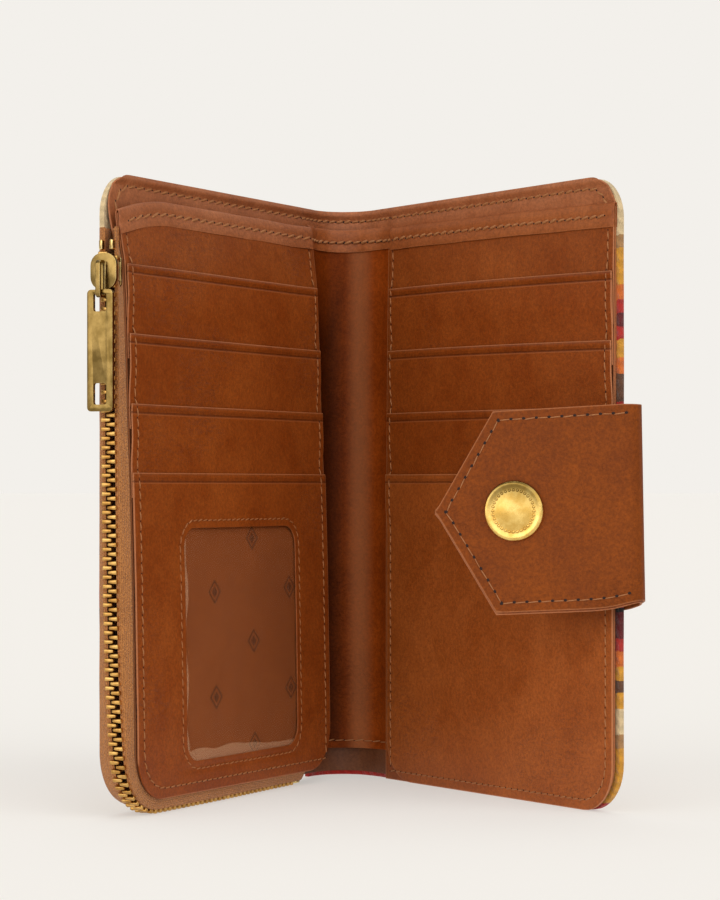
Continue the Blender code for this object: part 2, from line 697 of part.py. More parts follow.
def build_teeth(cover, mats):
    """Two interlocked rows of teeth, each row standing on its own cord."""
    start = TAPE_TOP_Z - CHAIN_TOP_Z
    length = TOOTH_PITCH / 2 - TOOTH_GAP
    for name, way, phase in (("zip_teeth_outer", -1, 0), ("zip_teeth_inner", 1, TOOTH_PITCH / 2)):
        bm = bmesh.new()
        near = CHAIN_N + way * (CHAIN_HALF_WIDTH - CORD_WIDTH)
        far = CHAIN_N + way * CHAIN_HALF_WIDTH
        half = CORD_HEIGHT / 2
        cord = ((-half, near), (-half, far), (half, far), (half, near))
        runs = [start]
        first = TAPE_TOP_Z - TEETH_TOP_Z + phase
        count = int((CHAIN_END - TOOTH_GAP - first) / TOOTH_PITCH)
        for k in range(count):
            runs += [first + k * TOOTH_PITCH, first + k * TOOTH_PITCH + length]
        runs.append(CHAIN_END)
        rows = skin(bm, [across(cover, s, cord) for s in runs])
        shoulder = CHAIN_N + way * (CHAIN_HALF_WIDTH - CORD_WIDTH - TOOTH_GAP)
        tip = CHAIN_N - way * TOOTH_OVERLAP
        tall = TOOTH_HEIGHT / 2
        for k in range(count):
            low, high = rows[2 * k + 1], rows[2 * k + 2]
            base = [low[0], low[3], high[3], high[0]]
            bm.faces.remove(next(f for f in low[0].link_faces if set(f.verts) == set(base)))
            for n in (shoulder, tip):
                ends = [across(cover, s, ((-tall, n), (tall, n))) for s in runs[2 * k + 1 : 2 * k + 3]]
                ring = [bm.verts.new(p) for p in (ends[0][0], ends[0][1], ends[1][1], ends[1][0])]
                for i in range(len(ring)):
                    j = (i + 1) % len(ring)
                    bm.faces.new((base[i], base[j], ring[j], ring[i]))
                base = ring
            bm.faces.new(base)
        finish(name, bm, cover.home, mats["brass"])


def build_stops(cover, mats):
    """The stops that close the chain: one at the top of each row, and one across its other end."""
    low = CHAIN_TOP_Z + SEAT_GAP
    half = STOP_HEIGHT / 2
    for name, way in (("zip_top_stop_outer", -1), ("zip_top_stop_inner", 1)):
        near = CHAIN_N + way * (CHAIN_HALF_WIDTH - CORD_WIDTH)
        far = CHAIN_N + way * CHAIN_HALF_WIDTH
        section = ((-half, near), (half, near), (half, far), (-half, far))
        bm = bmesh.new()
        skin(bm, [across(cover, TAPE_TOP_Z - z, section) for z in (low, low + STOP_LENGTH)])
        finish(name, bm, cover.home, mats["brass"])
    half = TOOTH_HEIGHT / 2
    near, far = CHAIN_N - CHAIN_HALF_WIDTH, CHAIN_N + CHAIN_HALF_WIDTH
    section = ((-half, near), (half, near), (half, far), (-half, far))
    bm = bmesh.new()
    skin(bm, [across(cover, CHAIN_END + SEAT_GAP + run, section) for run in (0, STOP_LENGTH)])
    finish("zip_bottom_stop", bm, cover.home, mats["brass"])


def build_slider(cover, mats):
    """Slider body from two plates, a wedge between them, four flanges and the bail on top."""
    def facing(a, b, level):
        return Vector((level, a, b))

    def edgewise(a, b, level):
        return Vector((a, level, b))

    spot = at(cover, CHAIN_U, CHAIN_N, SLIDER_Z)
    slide = empty("zip_slide_axis", spot[0], spot[1])
    home = (slide, (0, 0, 0))
    low = TOOTH_HEIGHT / 2 + SEAT_GAP
    high = low + SLIDER_PLATE
    brass = mats["brass"]
    w, h = SLIDER_HALF_WIDTH, SLIDER_HALF_LENGTH
    outline = frame_outline(-w, w, -h, h, (SLIDER_CORNER,) * 4)
    slider = plate("zip_slider", home, brass, outline, low, high, facing)
    w, h = UNDER_HALF_WIDTH, UNDER_HALF_LENGTH
    outline = frame_outline(-w, w, -h, h, (UNDER_CORNER,) * 4)
    tools = [plate("slider_under_plate", home, brass, outline, -UNDER_DEPTH, -low, facing)]
    top = WEDGE_TOP
    middle = top - WEDGE_LENGTH / 2
    wedge = ((0, top), (-WEDGE_HALF_WIDTH, middle), (0, top - WEDGE_LENGTH), (WEDGE_HALF_WIDTH, middle))
    sink = UNDER_PLATE / 2
    tools.append(plate("slider_wedge", home, brass, wedge, -low - sink, low + sink, facing))
    inner = CHAIN_HALF_WIDTH + SEAT_GAP
    reach = TAPE_THICKNESS / 2 + SEAT_GAP
    for label, way in (("a", -1), ("b", 1)):
        span = sorted((way * inner, way * (inner + FLANGE_WIDTH)))
        outline = frame_outline(*span, -FLANGE_HALF_LENGTH, FLANGE_HALF_LENGTH, (0,) * 4)
        tools.append(plate("slider_flange_" + label, home, brass, outline, reach, low + sink, facing))
        tools.append(plate("slider_under_flange_" + label, home, brass, outline, -low - sink, -reach, facing))
    foot = high - SLIDER_PLATE / 2
    wire = BAIL_WIRE
    outer = frame_outline(
        foot, foot + 2 * wire + BAIL_ROOM, -BAIL_DROP, BAIL_TOP, (BAIL_CORNER + wire,) * 4
    )
    hole = frame_outline(
        foot + wire, foot + wire + BAIL_ROOM, wire - BAIL_DROP, BAIL_TOP - wire, (BAIL_CORNER,) * 4
    )
    half = BAIL_WIDTH / 2
    tools.append(plate("slider_bail", home, brass, outer, -half, half, edgewise, hole))
    for tool in tools:
        combine(slider, tool, "UNION")
    hinge = empty("zip_pull_hinge", slide, (foot + wire + BAIL_ROOM / 2, 0, -PULL_HINGE_DROP))
    build_pull(hinge, mats)


def build_pull(hinge, mats):
    def facing(a, b, level):
        return Vector((level, a, b))

    home = (hinge, (0, 0, 0))
    half = PULL_THICKNESS / 2
    wide = PULL_WIDTH / 2
    top = PULL_BAR / 2
    bottom = top - PULL_LENGTH
    slot = PULL_SLOT_WIDTH / 2
    outline = frame_outline(-wide, wide, bottom, top, (PULL_CORNER,) * 4)
    upper = frame_outline(-slot, slot, -top - PULL_SLOT_LENGTH, -top, (PULL_CORNER / 2,) * 4)
    pull = plate("zip_pull", home, mats["brass"], outline, -half, half, facing, upper)
    low = bottom + PULL_LOW_MARGIN
    cut = frame_outline(-slot, slot, low, low + PULL_LOW_SLOT_LENGTH, (PULL_CORNER / 2,) * 4)
    tool = plate("pull_slot_cutter", home, mats["brass"], cut, -half - OVERRUN, half + OVERRUN, facing)
    combine(pull, tool, "DIFFERENCE")


def build_stud(cover, mats):
    """The stud outside the front cover, and the post that clamps it from inside the shell."""
    axis = cover.point(0, -1, 0)
    home = at(cover, STUD_U, WOOL_N - SEAT_GAP, TAB_MID_Z)
    waist = STUD_BASE_HEIGHT + (STUD_HEIGHT - STUD_BASE_HEIGHT) * STUD_WAIST_share
    bore = SNAP_STEM_RADIUS + SEAT_GAP
    profile = (
        (bore, 0), (STUD_BASE_RADIUS, 0), (STUD_BASE_RADIUS, STUD_BASE_HEIGHT),
        (STUD_NECK_RADIUS + SEAT_GAP, STUD_BASE_HEIGHT), (STUD_NECK_RADIUS + SEAT_GAP, waist),
        (STUD_HEAD_RADIUS + SEAT_GAP, waist), (STUD_HEAD_RADIUS, STUD_HEIGHT), (bore, STUD_HEIGHT),
    )
    turned("snap_stud", home, mats["brass"], profile, axis)
    disc = POST_DISC_HEIGHT
    back = CLOTH_N - SEAT_GAP / 2
    home = at(cover, STUD_U, back + disc, TAB_MID_Z)
    reach = back + disc - WOOL_N + SEAT_GAP + STUD_HEIGHT - SEAT_GAP
    profile = ((0, 0), (POST_DISC_RADIUS, 0), (POST_DISC_RADIUS, disc), (SNAP_STEM_RADIUS, disc))
    profile += ((SNAP_STEM_RADIUS, reach), (0, reach))
    turned("snap_stud_post", home, mats["brass"], profile, axis)


def build_tab(cover, mats):
    """The sewn root that curls round the free edge, then the pointed flap on its own hinge."""
    low, high = TAB_BOTTOM_Z, TAB_BOTTOM_Z + TAB_HEIGHT
    turns = [TAB_BEND_ANGLE * k / CURVE_STEPS for k in range(CURVE_STEPS + 1)]
    layers = (
        ("tab_root_lining", TAB_IN_RADIUS, TAB_IN_RADIUS + LEATHER_THICKNESS),
        ("tab_root_leather", TAB_OUT_RADIUS - TAB_LEATHER, TAB_OUT_RADIUS),
    )
    for name, inner, outer in layers:
        bm = bmesh.new()
        rings = []
        for turn in (None, *turns):
            ring = []
            for radius, z in ((inner, low), (outer, low), (outer, high), (inner, high)):
                if turn is None:
                    ring.append(cover.point(TAB_ROOT_U, -radius, z))
                else:
                    u = TAB_BEND_U + radius * math.sin(turn)
                    ring.append(cover.point(u, -radius * math.cos(turn), z))
            rings.append(ring)
        skin(bm, rings)
        finish(name, bm, cover.home, mats["leather"])
    u = TAB_BEND_U + TAB_OUT_RADIUS * math.sin(TAB_BEND_ANGLE)
    spot = at(cover, u, -TAB_OUT_RADIUS * math.cos(TAB_BEND_ANGLE), TAB_BOTTOM_Z)
    hinge = empty("tab_hinge", spot[0], spot[1], cover.side * TAB_BEND_ANGLE)
    home = (hinge, (0, 0, 0))
    start, end = TAB_HINGE_GAP, TAB_FLAP_LENGTH
    corners = (
        (start, 0), (end - TAB_POINT, 0), (end, TAB_HEIGHT / 2),
        (end - TAB_POINT, TAB_HEIGHT), (start, TAB_HEIGHT),
    )
    outline = rounded(corners, (0, TAB_CORNER, TAB_CORNER, TAB_CORNER, 0))
    total = TAB_OUT_RADIUS - TAB_IN_RADIUS
    hole = SNAP_STEM_RADIUS + SEAT_GAP
    centre = (hinge, (SNAP_FROM_BEND, 0, TAB_HEIGHT / 2))
    y = Vector((0, 1, 0))
    for name, back, front in (
        ("tab_flap_leather", -TAB_LEATHER, 0),
        ("tab_flap_lining", -total, LEATHER_THICKNESS - total),
    ):
        flap = plate(name, home, mats["leather"], outline, back, front)
        tool = drum(name + "_cutter", centre, hole, back - OVERRUN, front + OVERRUN, y, mats["leather"])
        combine(flap, tool, "DIFFERENCE")
    build_cap(centre, total, y, mats)


def build_cap(centre, total, axis, mats):
    stem = SNAP_STEM_RADIUS
    under = -total - SOCKET_HEIGHT / 2
    profile = [(0, under), (stem, under), (stem, SEAT_GAP), (CAP_RADIUS, SEAT_GAP)]
    profile += [(CAP_RADIUS * r, SEAT_GAP + CAP_HEIGHT * t) for r, t in CAP_PROFILE_shares[1:]]
    profile.append((0, SEAT_GAP + CAP_HEIGHT))
    turned("snap_cap", centre, mats["brass"], profile, axis)
    near = -total - SEAT_GAP
    far = near - SOCKET_HEIGHT
    inner = stem + SEAT_GAP
    lip = SOCKET_RADIUS - SOCKET_WALL
    profile = (
        (inner, near), (inner, near - SOCKET_HEIGHT / 2), (STUD_HEAD_RADIUS + 2 * SEAT_GAP, near - SOCKET_HEIGHT / 2),
        (STUD_HEAD_RADIUS + 2 * SEAT_GAP, far), (lip, far), (SOCKET_RADIUS, far + SOCKET_HEIGHT / 2), (SOCKET_RADIUS, near),
    )
    turned("snap_socket", centre, mats["brass"], profile, axis)


def stand_on_origin(root):
    """Moves the root so that the middle of the part's footprint box is the origin."""
    bpy.context.view_layer.update()
    places = []
    for obj in bpy.context.scene.objects:
        if obj.type == "MESH" and not obj.hide_render:
            places += [obj.matrix_world @ vertex.co for vertex in obj.data.vertices]
    lows = [min(place[i] for place in places) for i in range(3)]
    highs = [max(place[i] for place in places) for i in range(3)]
    root.location = (-(lows[0] + highs[0]) / 2, -(lows[1] + highs[1]) / 2, -lows[2])


def main():
    clear_scene()
    mats = {
        "wool": material("wool_cloth", (0.55, 0.33, 0.16), 0.95),
        "leather": material("saddle_leather", (0.36, 0.19, 0.10), 0.48),
        "leather_dark": material("lining_leather", (0.25, 0.12, 0.06), 0.45),
        "cloth": material("pocket_cloth", (0.20, 0.14, 0.10), 0.85),
        "tape": material("zip_tape", (0.40, 0.26, 0.16), 0.90),
        "brass": material("brass", (0.78, 0.58, 0.30), 0.28, 1.0),
        "clear": material("clear_window", (0.90, 0.88, 0.84), 0.08, 0.0, 0.25),
    }
    root = empty("wallet", None, (0, 0, 0))
    front = Cover("front_cover_hinge", root, (-SPINE_WIDTH / 2, 0), FRONT_OPEN_ANGLE, 1)
    back = Cover("back_cover_hinge", root, (SPINE_WIDTH / 2, 0), BACK_OPEN_ANGLE, -1)
    build_spine(root, front, back, mats)
    build_front_shell(front, mats)
    build_cover_stack(front, "front", FRONT_BASE_Z, FRONT_LINING_N, mats)
    build_zip_tapes(front, mats)
    build_teeth(front, mats)
    build_stops(front, mats)
    build_slider(front, mats)
    build_stud(front, mats)
    build_back_shell(back, mats)
    build_cover_stack(back, "back", 0, BACK_LINING_N, mats)
    build_tab(back, mats)
    stand_on_origin(root)


main()
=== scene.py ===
"""A cloth and leather wallet standing open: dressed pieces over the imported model, in its own frame."""

import math

import bmesh
import bpy
from mathutils import Matrix, Vector, noise


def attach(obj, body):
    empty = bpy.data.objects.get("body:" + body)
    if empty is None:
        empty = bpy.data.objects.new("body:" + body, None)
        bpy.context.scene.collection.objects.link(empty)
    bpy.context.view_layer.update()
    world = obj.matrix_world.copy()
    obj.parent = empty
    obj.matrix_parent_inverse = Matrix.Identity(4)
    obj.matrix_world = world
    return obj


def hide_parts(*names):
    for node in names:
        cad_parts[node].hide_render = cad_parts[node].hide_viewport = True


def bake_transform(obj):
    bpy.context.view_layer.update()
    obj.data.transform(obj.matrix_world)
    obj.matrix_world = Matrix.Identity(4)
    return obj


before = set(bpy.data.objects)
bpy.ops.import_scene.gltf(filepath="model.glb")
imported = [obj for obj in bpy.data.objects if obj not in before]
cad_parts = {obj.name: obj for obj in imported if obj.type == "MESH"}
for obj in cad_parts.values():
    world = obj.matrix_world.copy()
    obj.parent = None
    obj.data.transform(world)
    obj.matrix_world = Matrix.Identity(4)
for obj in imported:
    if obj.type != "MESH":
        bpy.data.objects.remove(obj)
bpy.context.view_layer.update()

# Camera
# The photograph was taken level, from the wallet's mid height and most of a metre in front of it,
# with a long lens. A small rise of the lens keeps the covers upright and the wallet low in the frame.
CAMERA_PLACE = (-0.001575, -0.68823, 0.07773)
LENS, FILM_WIDTH, LENS_RISE = 109.0, 36.0, 0.04207  # mm, mm, share of the film's width
bpy.ops.object.select_all(action="DESELECT")
bpy.ops.object.camera_add(location=CAMERA_PLACE, rotation=(math.radians(90), 0, 0))
camera = bpy.context.object
camera.data.lens = LENS
camera.data.sensor_width = FILM_WIDTH
camera.data.shift_y = LENS_RISE
camera.data.clip_end = 100
bpy.context.scene.camera = camera

# Floor and light
# A warm white studio sweep under four broad soft lights: one from the right and above, one from the
# left, one from the front and one overhead. The floor and the air behind are the same pale colour.
MM = 0.001
PAPER = (0.8963, 0.8714, 0.8308, 1)
SHADED_PAPER = (0.46, 0.4475, 0.4265, 1)
LAMP_WHITE = (1.0, 0.985, 0.96, 1)
FILL_LIGHT = 0.34
# Each lamp: where it stands, how near its middle a direction has to be, and its strength.
LAMPS = (
    ((0.52, -0.62, 0.59), 0.80, 0.95, 1.7),
    ((-0.82, -0.52, 0.26), 0.86, 0.97, 1.9),
    ((-0.22, -0.94, 0.20), 0.80, 0.97, 1.5),
    ((0.0, 0.25, 0.97), 0.80, 0.98, 1.3),
)


class Graph:
    """The nodes of a material, a group or the world, with short ways to add the usual ones."""

    def __init__(self, tree):
        self.nodes, self.links = tree.nodes, tree.links
        self.shader = tree.nodes.get("Principled BSDF")

    def feed(self, node, inputs):
        """Links or sets a node's inputs, each given by its name or number."""
        for name, value in inputs.items():
            if isinstance(value, bpy.types.NodeSocket):
                self.links.new(value, node.inputs[name])
            else:
                node.inputs[name].default_value = value

    def add(self, kind, inputs, **settings):
        node = self.nodes.new("ShaderNode" + kind)
        for name, value in settings.items():
            setattr(node, name, value)
        self.feed(node, inputs)
        return node

    def dress(self, inputs):
        """Feeds the material's own shader."""
        self.feed(self.shader, inputs)

    def show(self, node):
        """Makes this shader the material's surface, in place of its own one."""
        self.feed(self.nodes["Material Output"], {"Surface": node.outputs[0]})

    def emboss(self, height, distance, strength=1.0):
        bump = self.add("Bump", {"Height": height, "Distance": distance, "Strength": strength})
        self.dress({"Normal": bump.outputs[0]})

    def math(self, operation, *values, clamp=False):
        node = self.add("Math", dict(enumerate(values)), operation=operation, use_clamp=clamp)
        return node.outputs[0]

    def step(self, value, low, high, to_low=0.0, to_high=1.0):
        """A smooth change from to_low to to_high as value goes from low to high."""
        ends = {"From Min": low, "From Max": high, "To Min": to_low, "To Max": to_high}
        node = self.add("MapRange", {"Value": value, **ends}, interpolation_type="SMOOTHSTEP")
        return node.outputs["Result"]

    def noise(self, scale, detail, rough, vector, distortion=0.0):
        shape = {"Scale": scale, "Detail": detail, "Roughness": rough, "Distortion": distortion}
        return self.add("TexNoise", {"Vector": vector, **shape}).outputs["Fac"]

    def blend(self, factor, first, second, way="MIX"):
        node = self.add("Mix", {}, data_type="RGBA", blend_type=way)
        self.feed(node, {0: factor, 6: first, 7: second})
        return node.outputs[2]

    def place(self):
        """Where a point of the wallet is, in metres."""
        return self.nodes.new("ShaderNodeTexCoord").outputs["Object"]

    def flat_map(self, name):
        """Where a point lies on the cut piece before it is bent, in metres."""
        return self.add("UVMap", {}, uv_map=name).outputs[0]

    def parts(self, vector):
        return self.add("SeparateXYZ", {0: vector}).outputs


def new_material(name):
    mat = bpy.data.materials.new(name)
    mat.use_nodes = True
    return mat, Graph(mat.node_tree)


def tone(red, green, blue):
    """A colour as a paint chart gives it, from 0 to 255, made linear."""
    def linear(value):
        value /= 255
        return value / 12.92 if value <= 0.04045 else ((value + 0.055) / 1.055) ** 2.4
    return (linear(red), linear(green), linear(blue), 1)


bpy.ops.mesh.primitive_plane_add(size=80, location=(0, 0, -0.00005))
studio_floor = bpy.context.object
studio_floor.name = "studio_floor"
bpy.ops.object.mode_set(mode="EDIT")
bpy.ops.mesh.subdivide(number_cuts=3)
bpy.ops.object.mode_set(mode="OBJECT")
bpy.ops.object.transform_apply(location=True, rotation=True, scale=True)
mat, graph = new_material("paper_sweep")
graph.nodes.remove(graph.shader)
seen_paper = graph.add("BsdfDiffuse", {"Color": SHADED_PAPER})
seen_glow = graph.add("Emission", {"Color": PAPER, "Strength": 0.5})
graph.show(graph.add("AddShader", {0: seen_paper.outputs[0], 1: seen_glow.outputs[0]}))
studio_floor.data.materials.append(mat)

world = bpy.data.worlds.new("studio_air")
bpy.context.scene.world = world
world.use_nodes = True
world.node_tree.nodes.clear()
graph = Graph(world.node_tree)
facing = graph.nodes.new("ShaderNodeTexCoord").outputs["Generated"]
light = FILL_LIGHT
for direction, edge, core, strength in LAMPS:
    aim = graph.add("VectorMath", {0: facing, 1: Vector(direction).normalized()}, operation="DOT_PRODUCT")
    light = graph.math("ADD", graph.step(aim.outputs["Value"], edge, core, 0.0, strength), light)
air = graph.add("Background", {"Color": LAMP_WHITE, "Strength": light})
backdrop = graph.add("Background", {"Color": PAPER})
seen_straight = graph.nodes.new("ShaderNodeLightPath").outputs["Is Camera Ray"]
sky = graph.add("MixShader", {0: seen_straight, 1: air.outputs[0], 2: backdrop.outputs[0]})
graph.add("OutputWorld", {"Surface": sky.outputs[0]})
bpy.context.scene.view_settings.view_transform = "Standard"

# Leather linings
# Thin saddle leather that faces the inside of the cloth shell: one panel behind each card stack and
# one across the spine. Each is sewn to the cloth along its top, where its edge is rolled and waxed.
FREE_EDGE = 104.0
FRONT_FOOT, BACK_FOOT = 3.6, 0.0
LINING_TOP, ROLL_START, TOP_SEAM = 152.6, 146.0, 149.9
LINING_THICK = 0.4
# A gap in mm too wide for the waxed edge or the creased line to show.
FAR = 1000.0


def on_front(u, n, z):
    """A point of the front cover: u from the fold to the zip, n towards the inside, z up, in mm."""
    return Vector((-12.8253 - 0.461749 * u + 0.887011 * n, 47.8811 - 0.887011 * u - 0.461749 * n, z)) * MM


def on_back(u, n, z):
    return Vector((1.1747 + 0.554844 * u - 0.831954 * n, 47.8811 - 0.831954 * u - 0.554844 * n, z)) * MM


def ease(t):
    t = min(max(t, 0.0), 1.0)
    return t * t * (3 - 2 * t)


def along_table(table, x):
    for (x0, y0), (x1, y1) in zip(table, table[1:]):
        if x <= x1:
            return y0 + (y1 - y0) * min(max((x - x0) / (x1 - x0), 0), 1)
    return table[-1][1]


def spread(low, high, cell, low_round=0.0, high_round=0.0):
    """Steps from low to high, close together round the corners and along both ends."""
    stops = {low, high}
    for end, way, radius in ((low, 1, low_round), (high, -1, high_round)):
        if radius:
            stops |= {end + way * radius * (1 - math.cos(math.radians(9 * k))) for k in range(11)}
        stops |= {end + way * d for d in (0.35, 0.8, 1.4, 2.1, 3.0) if d < (high - low) / 3}
    first, last = low + max(low_round, 3.0), high - max(high_round, 3.0)
    count = max(1, round((last - first) / cell))
    if last > first:
        stops |= {first + (last - first) * k / count for k in range(count + 1)}
    kept = []
    for value in sorted(stops):
        if not kept or value - kept[-1] > 0.12 or value == high:
            kept.append(value)
    return kept


def corner_inset(z, low, high, low_radius, high_radius):
    if low_radius and z < low + low_radius:
        return low_radius - math.sqrt(max(low_radius**2 - (low + low_radius - z) ** 2, 0))
    if high_radius and z > high - high_radius:
        return high_radius - math.sqrt(max(high_radius**2 - (z - high + high_radius) ** 2, 0))
    return 0.0


def take(piece):
    """Makes this piece the only one selected, and the active one."""
    bpy.ops.object.select_all(action="DESELECT")
    piece.select_set(True)
    bpy.context.view_layer.objects.active = piece


def new_piece(name, mesh, *mats):
    piece = bpy.data.objects.new(name, mesh)
    bpy.context.scene.collection.objects.link(piece)
    for mat in mats:
        mesh.materials.append(mat)
    take(piece)
    return piece


def grid_sheet(name, rows, mat, thick, round_over, turn=(0, 1, 2, 3), ring=False, flip=False):
    """A sheet of quads that gets its wall away from its face, with its cut edges rounded.

    A row is a list of (point, spot on the flat map, gaps to the side and top edges), in mm but for
    the point. turn is the order of a quad's corners, which sets the way its face looks, and flip
    turns all the faces round.
    """
    bm = bmesh.new()
    cut, edges = bm.loops.layers.uv.new("cut"), bm.loops.layers.uv.new("edges")
    grid = [[(bm.verts.new(point), flat, gaps) for point, flat, gaps in row] for row in rows]
    for lower, upper in zip(grid, grid[1:]):
        for k in range(len(lower) if ring else len(lower) - 1):
            after = (k + 1) % len(lower)
            quad = (lower[k], lower[after], upper[after], upper[k])
            corners = [quad[i] for i in turn]
            face = bm.faces.new([vert for vert, _, _ in corners])
            for loop, (_, flat, gaps) in zip(face.loops, corners):
                loop[cut].uv = (flat[0] * MM, flat[1] * MM)
                loop[edges].uv = (gaps[0] * MM, gaps[1] * MM)
    if flip:
        bmesh.ops.reverse_faces(bm, faces=bm.faces)
    mesh = bpy.data.meshes.new(name)
    bm.to_mesh(mesh)
    bm.free()
    piece = new_piece(name, mesh, mat)
    bpy.ops.object.shade_smooth_by_angle(angle=math.radians(40))
    wall = piece.modifiers.new("wall", "SOLIDIFY")
    wall.thickness = thick * MM
    wall.offset = -1
    bpy.ops.object.modifier_apply(modifier="wall")
    if round_over:
        soft = piece.modifiers.new("edge", "BEVEL")
        soft.width = round_over * MM
        soft.segments = 2
        soft.limit_method = "ANGLE"
        soft.angle_limit = math.radians(55)
        bpy.ops.object.modifier_apply(modifier="edge")
    bpy.ops.object.shade_smooth_by_angle(angle=math.radians(50))
    return piece


def cut_panel(name, place, left, right, low, high, depth, thick, mat,
              corners=(0, 0, 0, 0), cell=1.7, round_over=0.14):
    """One flat-cut layer on a cover. depth(u, z) is its face towards the inside.

    corners are its radii: low left, low right, top right and top left.
    """
    rows = []
    for z in spread(low, high, cell, max(corners[0], corners[1]), max(corners[2], corners[3])):
        start = left + corner_inset(z, low, high, corners[0], corners[3])
        end = right - corner_inset(z, low, high, corners[1], corners[2])
        row = []
        for u in spread(left, right, cell):
            u = start + (end - start) * (u - left) / (right - left)
            row.append((place(u, depth(u, z), z), (u, z), (min(u - start, end - u, z - low), high - z)))
        rows.append(row)
    along, up, inward = (place(*way) - place(0, 0, 0) for way in ((1, 0, 0), (0, 0, 1), (0, 1, 0)))
    turn = (0, 1, 2, 3) if along.cross(up).dot(inward) > 0 else (3, 2, 1, 0)
    return grid_sheet(name, rows, mat, thick, round_over, turn)


# Saddle leather's face: pulled-up mottling, pores and fine creases, a pale line along cut edges that is
# part waxed edge and part painted highlight, and a creased line pressed beside the top edge where a
# piece has one, with painted shade in its groove and a painted highlight on its lip.
hide = bpy.data.node_groups.new("saddle leather face", "ShaderNodeTree")
for name, way, kind in (
    ("Dark", "INPUT", "Color"), ("Light", "INPUT", "Color"), ("Crease line", "INPUT", "Float"),
    ("Edge wax", "INPUT", "Float"), ("Colour", "OUTPUT", "Color"), ("Roughness", "OUTPUT", "Float"),
    ("Height", "OUTPUT", "Float"),
):
    hide.interface.new_socket(name=name, in_out=way, socket_type="NodeSocket" + kind)
graph = Graph(hide)
given = graph.nodes.new("NodeGroupInput").outputs
where = graph.place()
side_gap, top_gap, _ = graph.parts(graph.flat_map("edges"))
clouds = graph.noise(42, 4, 0.6, where, 0.4)
blotches = graph.noise(190, 3, 0.65, where, 0.8)
pores = graph.noise(3100, 2, 0.6, where)
fibres = graph.add("TexVoronoi", {}, feature="DISTANCE_TO_EDGE")
graph.feed(fibres, {"Scale": 1500, "Vector": where})
stretched = graph.add("Mapping", {"Scale": (1.0, 1.0, 2.6), "Rotation": (0.2, 0.35, 0.1), "Vector": where})
wrinkles = graph.noise(260, 5, 0.55, stretched.outputs[0], 1.4)
fold_lines = graph.math("ABSOLUTE", graph.math("SUBTRACT", wrinkles, 0.5))
fold_lines = graph.step(fold_lines, 0.0, 0.022, 1.0, 0.0)
fold_places = graph.step(graph.noise(30, 2, 0.5, where), 0.52, 0.68)
fold_lines = graph.math("MULTIPLY", fold_lines, fold_places)
mottle = graph.math("MULTIPLY_ADD", blotches, 0.45, graph.math("MULTIPLY", clouds, 0.75))
mottle = graph.step(mottle, 0.30, 0.90)
base = graph.blend(mottle, given["Dark"], given["Light"])
base = graph.blend(1.0, base, graph.step(pores, 0.30, 0.52, 0.80, 1.0), "MULTIPLY")
grain = graph.step(graph.noise(1250, 3, 0.65, where), 0.30, 0.72, 0.78, 1.12)
base = graph.blend(1.0, base, grain, "MULTIPLY")
base = graph.blend(graph.math("MULTIPLY", fold_lines, 0.35), base, tone(70, 28, 8))
nearest = graph.math("MINIMUM", side_gap, top_gap)
wax_and_highlight_width = graph.math("MULTIPLY_ADD", graph.noise(900, 2, 0.6, where), 0.0003, 0.00022)
wax_and_highlight = graph.math("MULTIPLY", graph.step(nearest, 0.0, wax_and_highlight_width, 0.62, 0.0), given["Edge wax"])
base = graph.blend(wax_and_highlight, base, tone(190, 126, 84))
has_crease = graph.math("GREATER_THAN", given["Crease line"], 0.0001)
past_crease = graph.math("SUBTRACT", top_gap, given["Crease line"])
crease = graph.step(graph.math("ABSOLUTE", past_crease), 0.00008, 0.00030, 1.0, 0.0)
crease = graph.math("MULTIPLY", crease, has_crease)
past_lip = graph.math("ABSOLUTE", graph.math("SUBTRACT", past_crease, 0.00038))
lip = graph.math("MULTIPLY", graph.step(past_lip, 0.0, 0.00022, 0.6, 0.0), has_crease)
# Painted shade darkens the crease's groove, and a painted highlight pales the lip just below it.
base = graph.blend(graph.math("MULTIPLY", crease, 0.5), base, tone(62, 24, 8))
base = graph.blend(lip, base, tone(160, 92, 50))
rough = graph.math("MULTIPLY_ADD", mottle, 0.10, 0.40)
rough = graph.math("MULTIPLY_ADD", pores, 0.08, rough)
rough = graph.math("MULTIPLY_ADD", wax_and_highlight, -0.10, rough)
height = graph.math("MULTIPLY", graph.step(fibres.outputs["Distance"], 0.0, 0.12), 0.30)
turned = graph.step(top_gap, 0.0, 0.0007)
turned = graph.math("MULTIPLY", turned, graph.step(top_gap, 0.0009, 0.0021, 1.0, 0.0))
turned = graph.math("MULTIPLY", turned, has_crease)
for relief, weight in ((pores, 0.35), (blotches, 0.9), (fold_lines, -0.8), (crease, -3.0), (turned, 9.0)):
    height = graph.math("MULTIPLY_ADD", relief, weight, height)
graph.feed(graph.nodes.new("NodeGroupOutput"), {"Colour": base, "Roughness": rough, "Height": height})


def leather(name, dark, light, crease=0.0, wax_and_highlight=1.0, gloss=0.26, shade=None):
    """A hide between two tones. shade(graph, colour) changes its colour by its place, where given."""
    mat, graph = new_material(name)
    skin = graph.add("Group", {}, node_tree=hide)
    graph.feed(skin, {"Dark": dark, "Light": light, "Crease line": crease, "Edge wax": wax_and_highlight})
    colour = skin.outputs["Colour"]
    if shade:
        colour = shade(graph, colour)
    graph.dress({"Base Color": colour, "Roughness": skin.outputs["Roughness"], "Specular IOR Level": gloss})
    graph.emboss(skin.outputs["Height"], 0.00006, 0.75)
    return mat


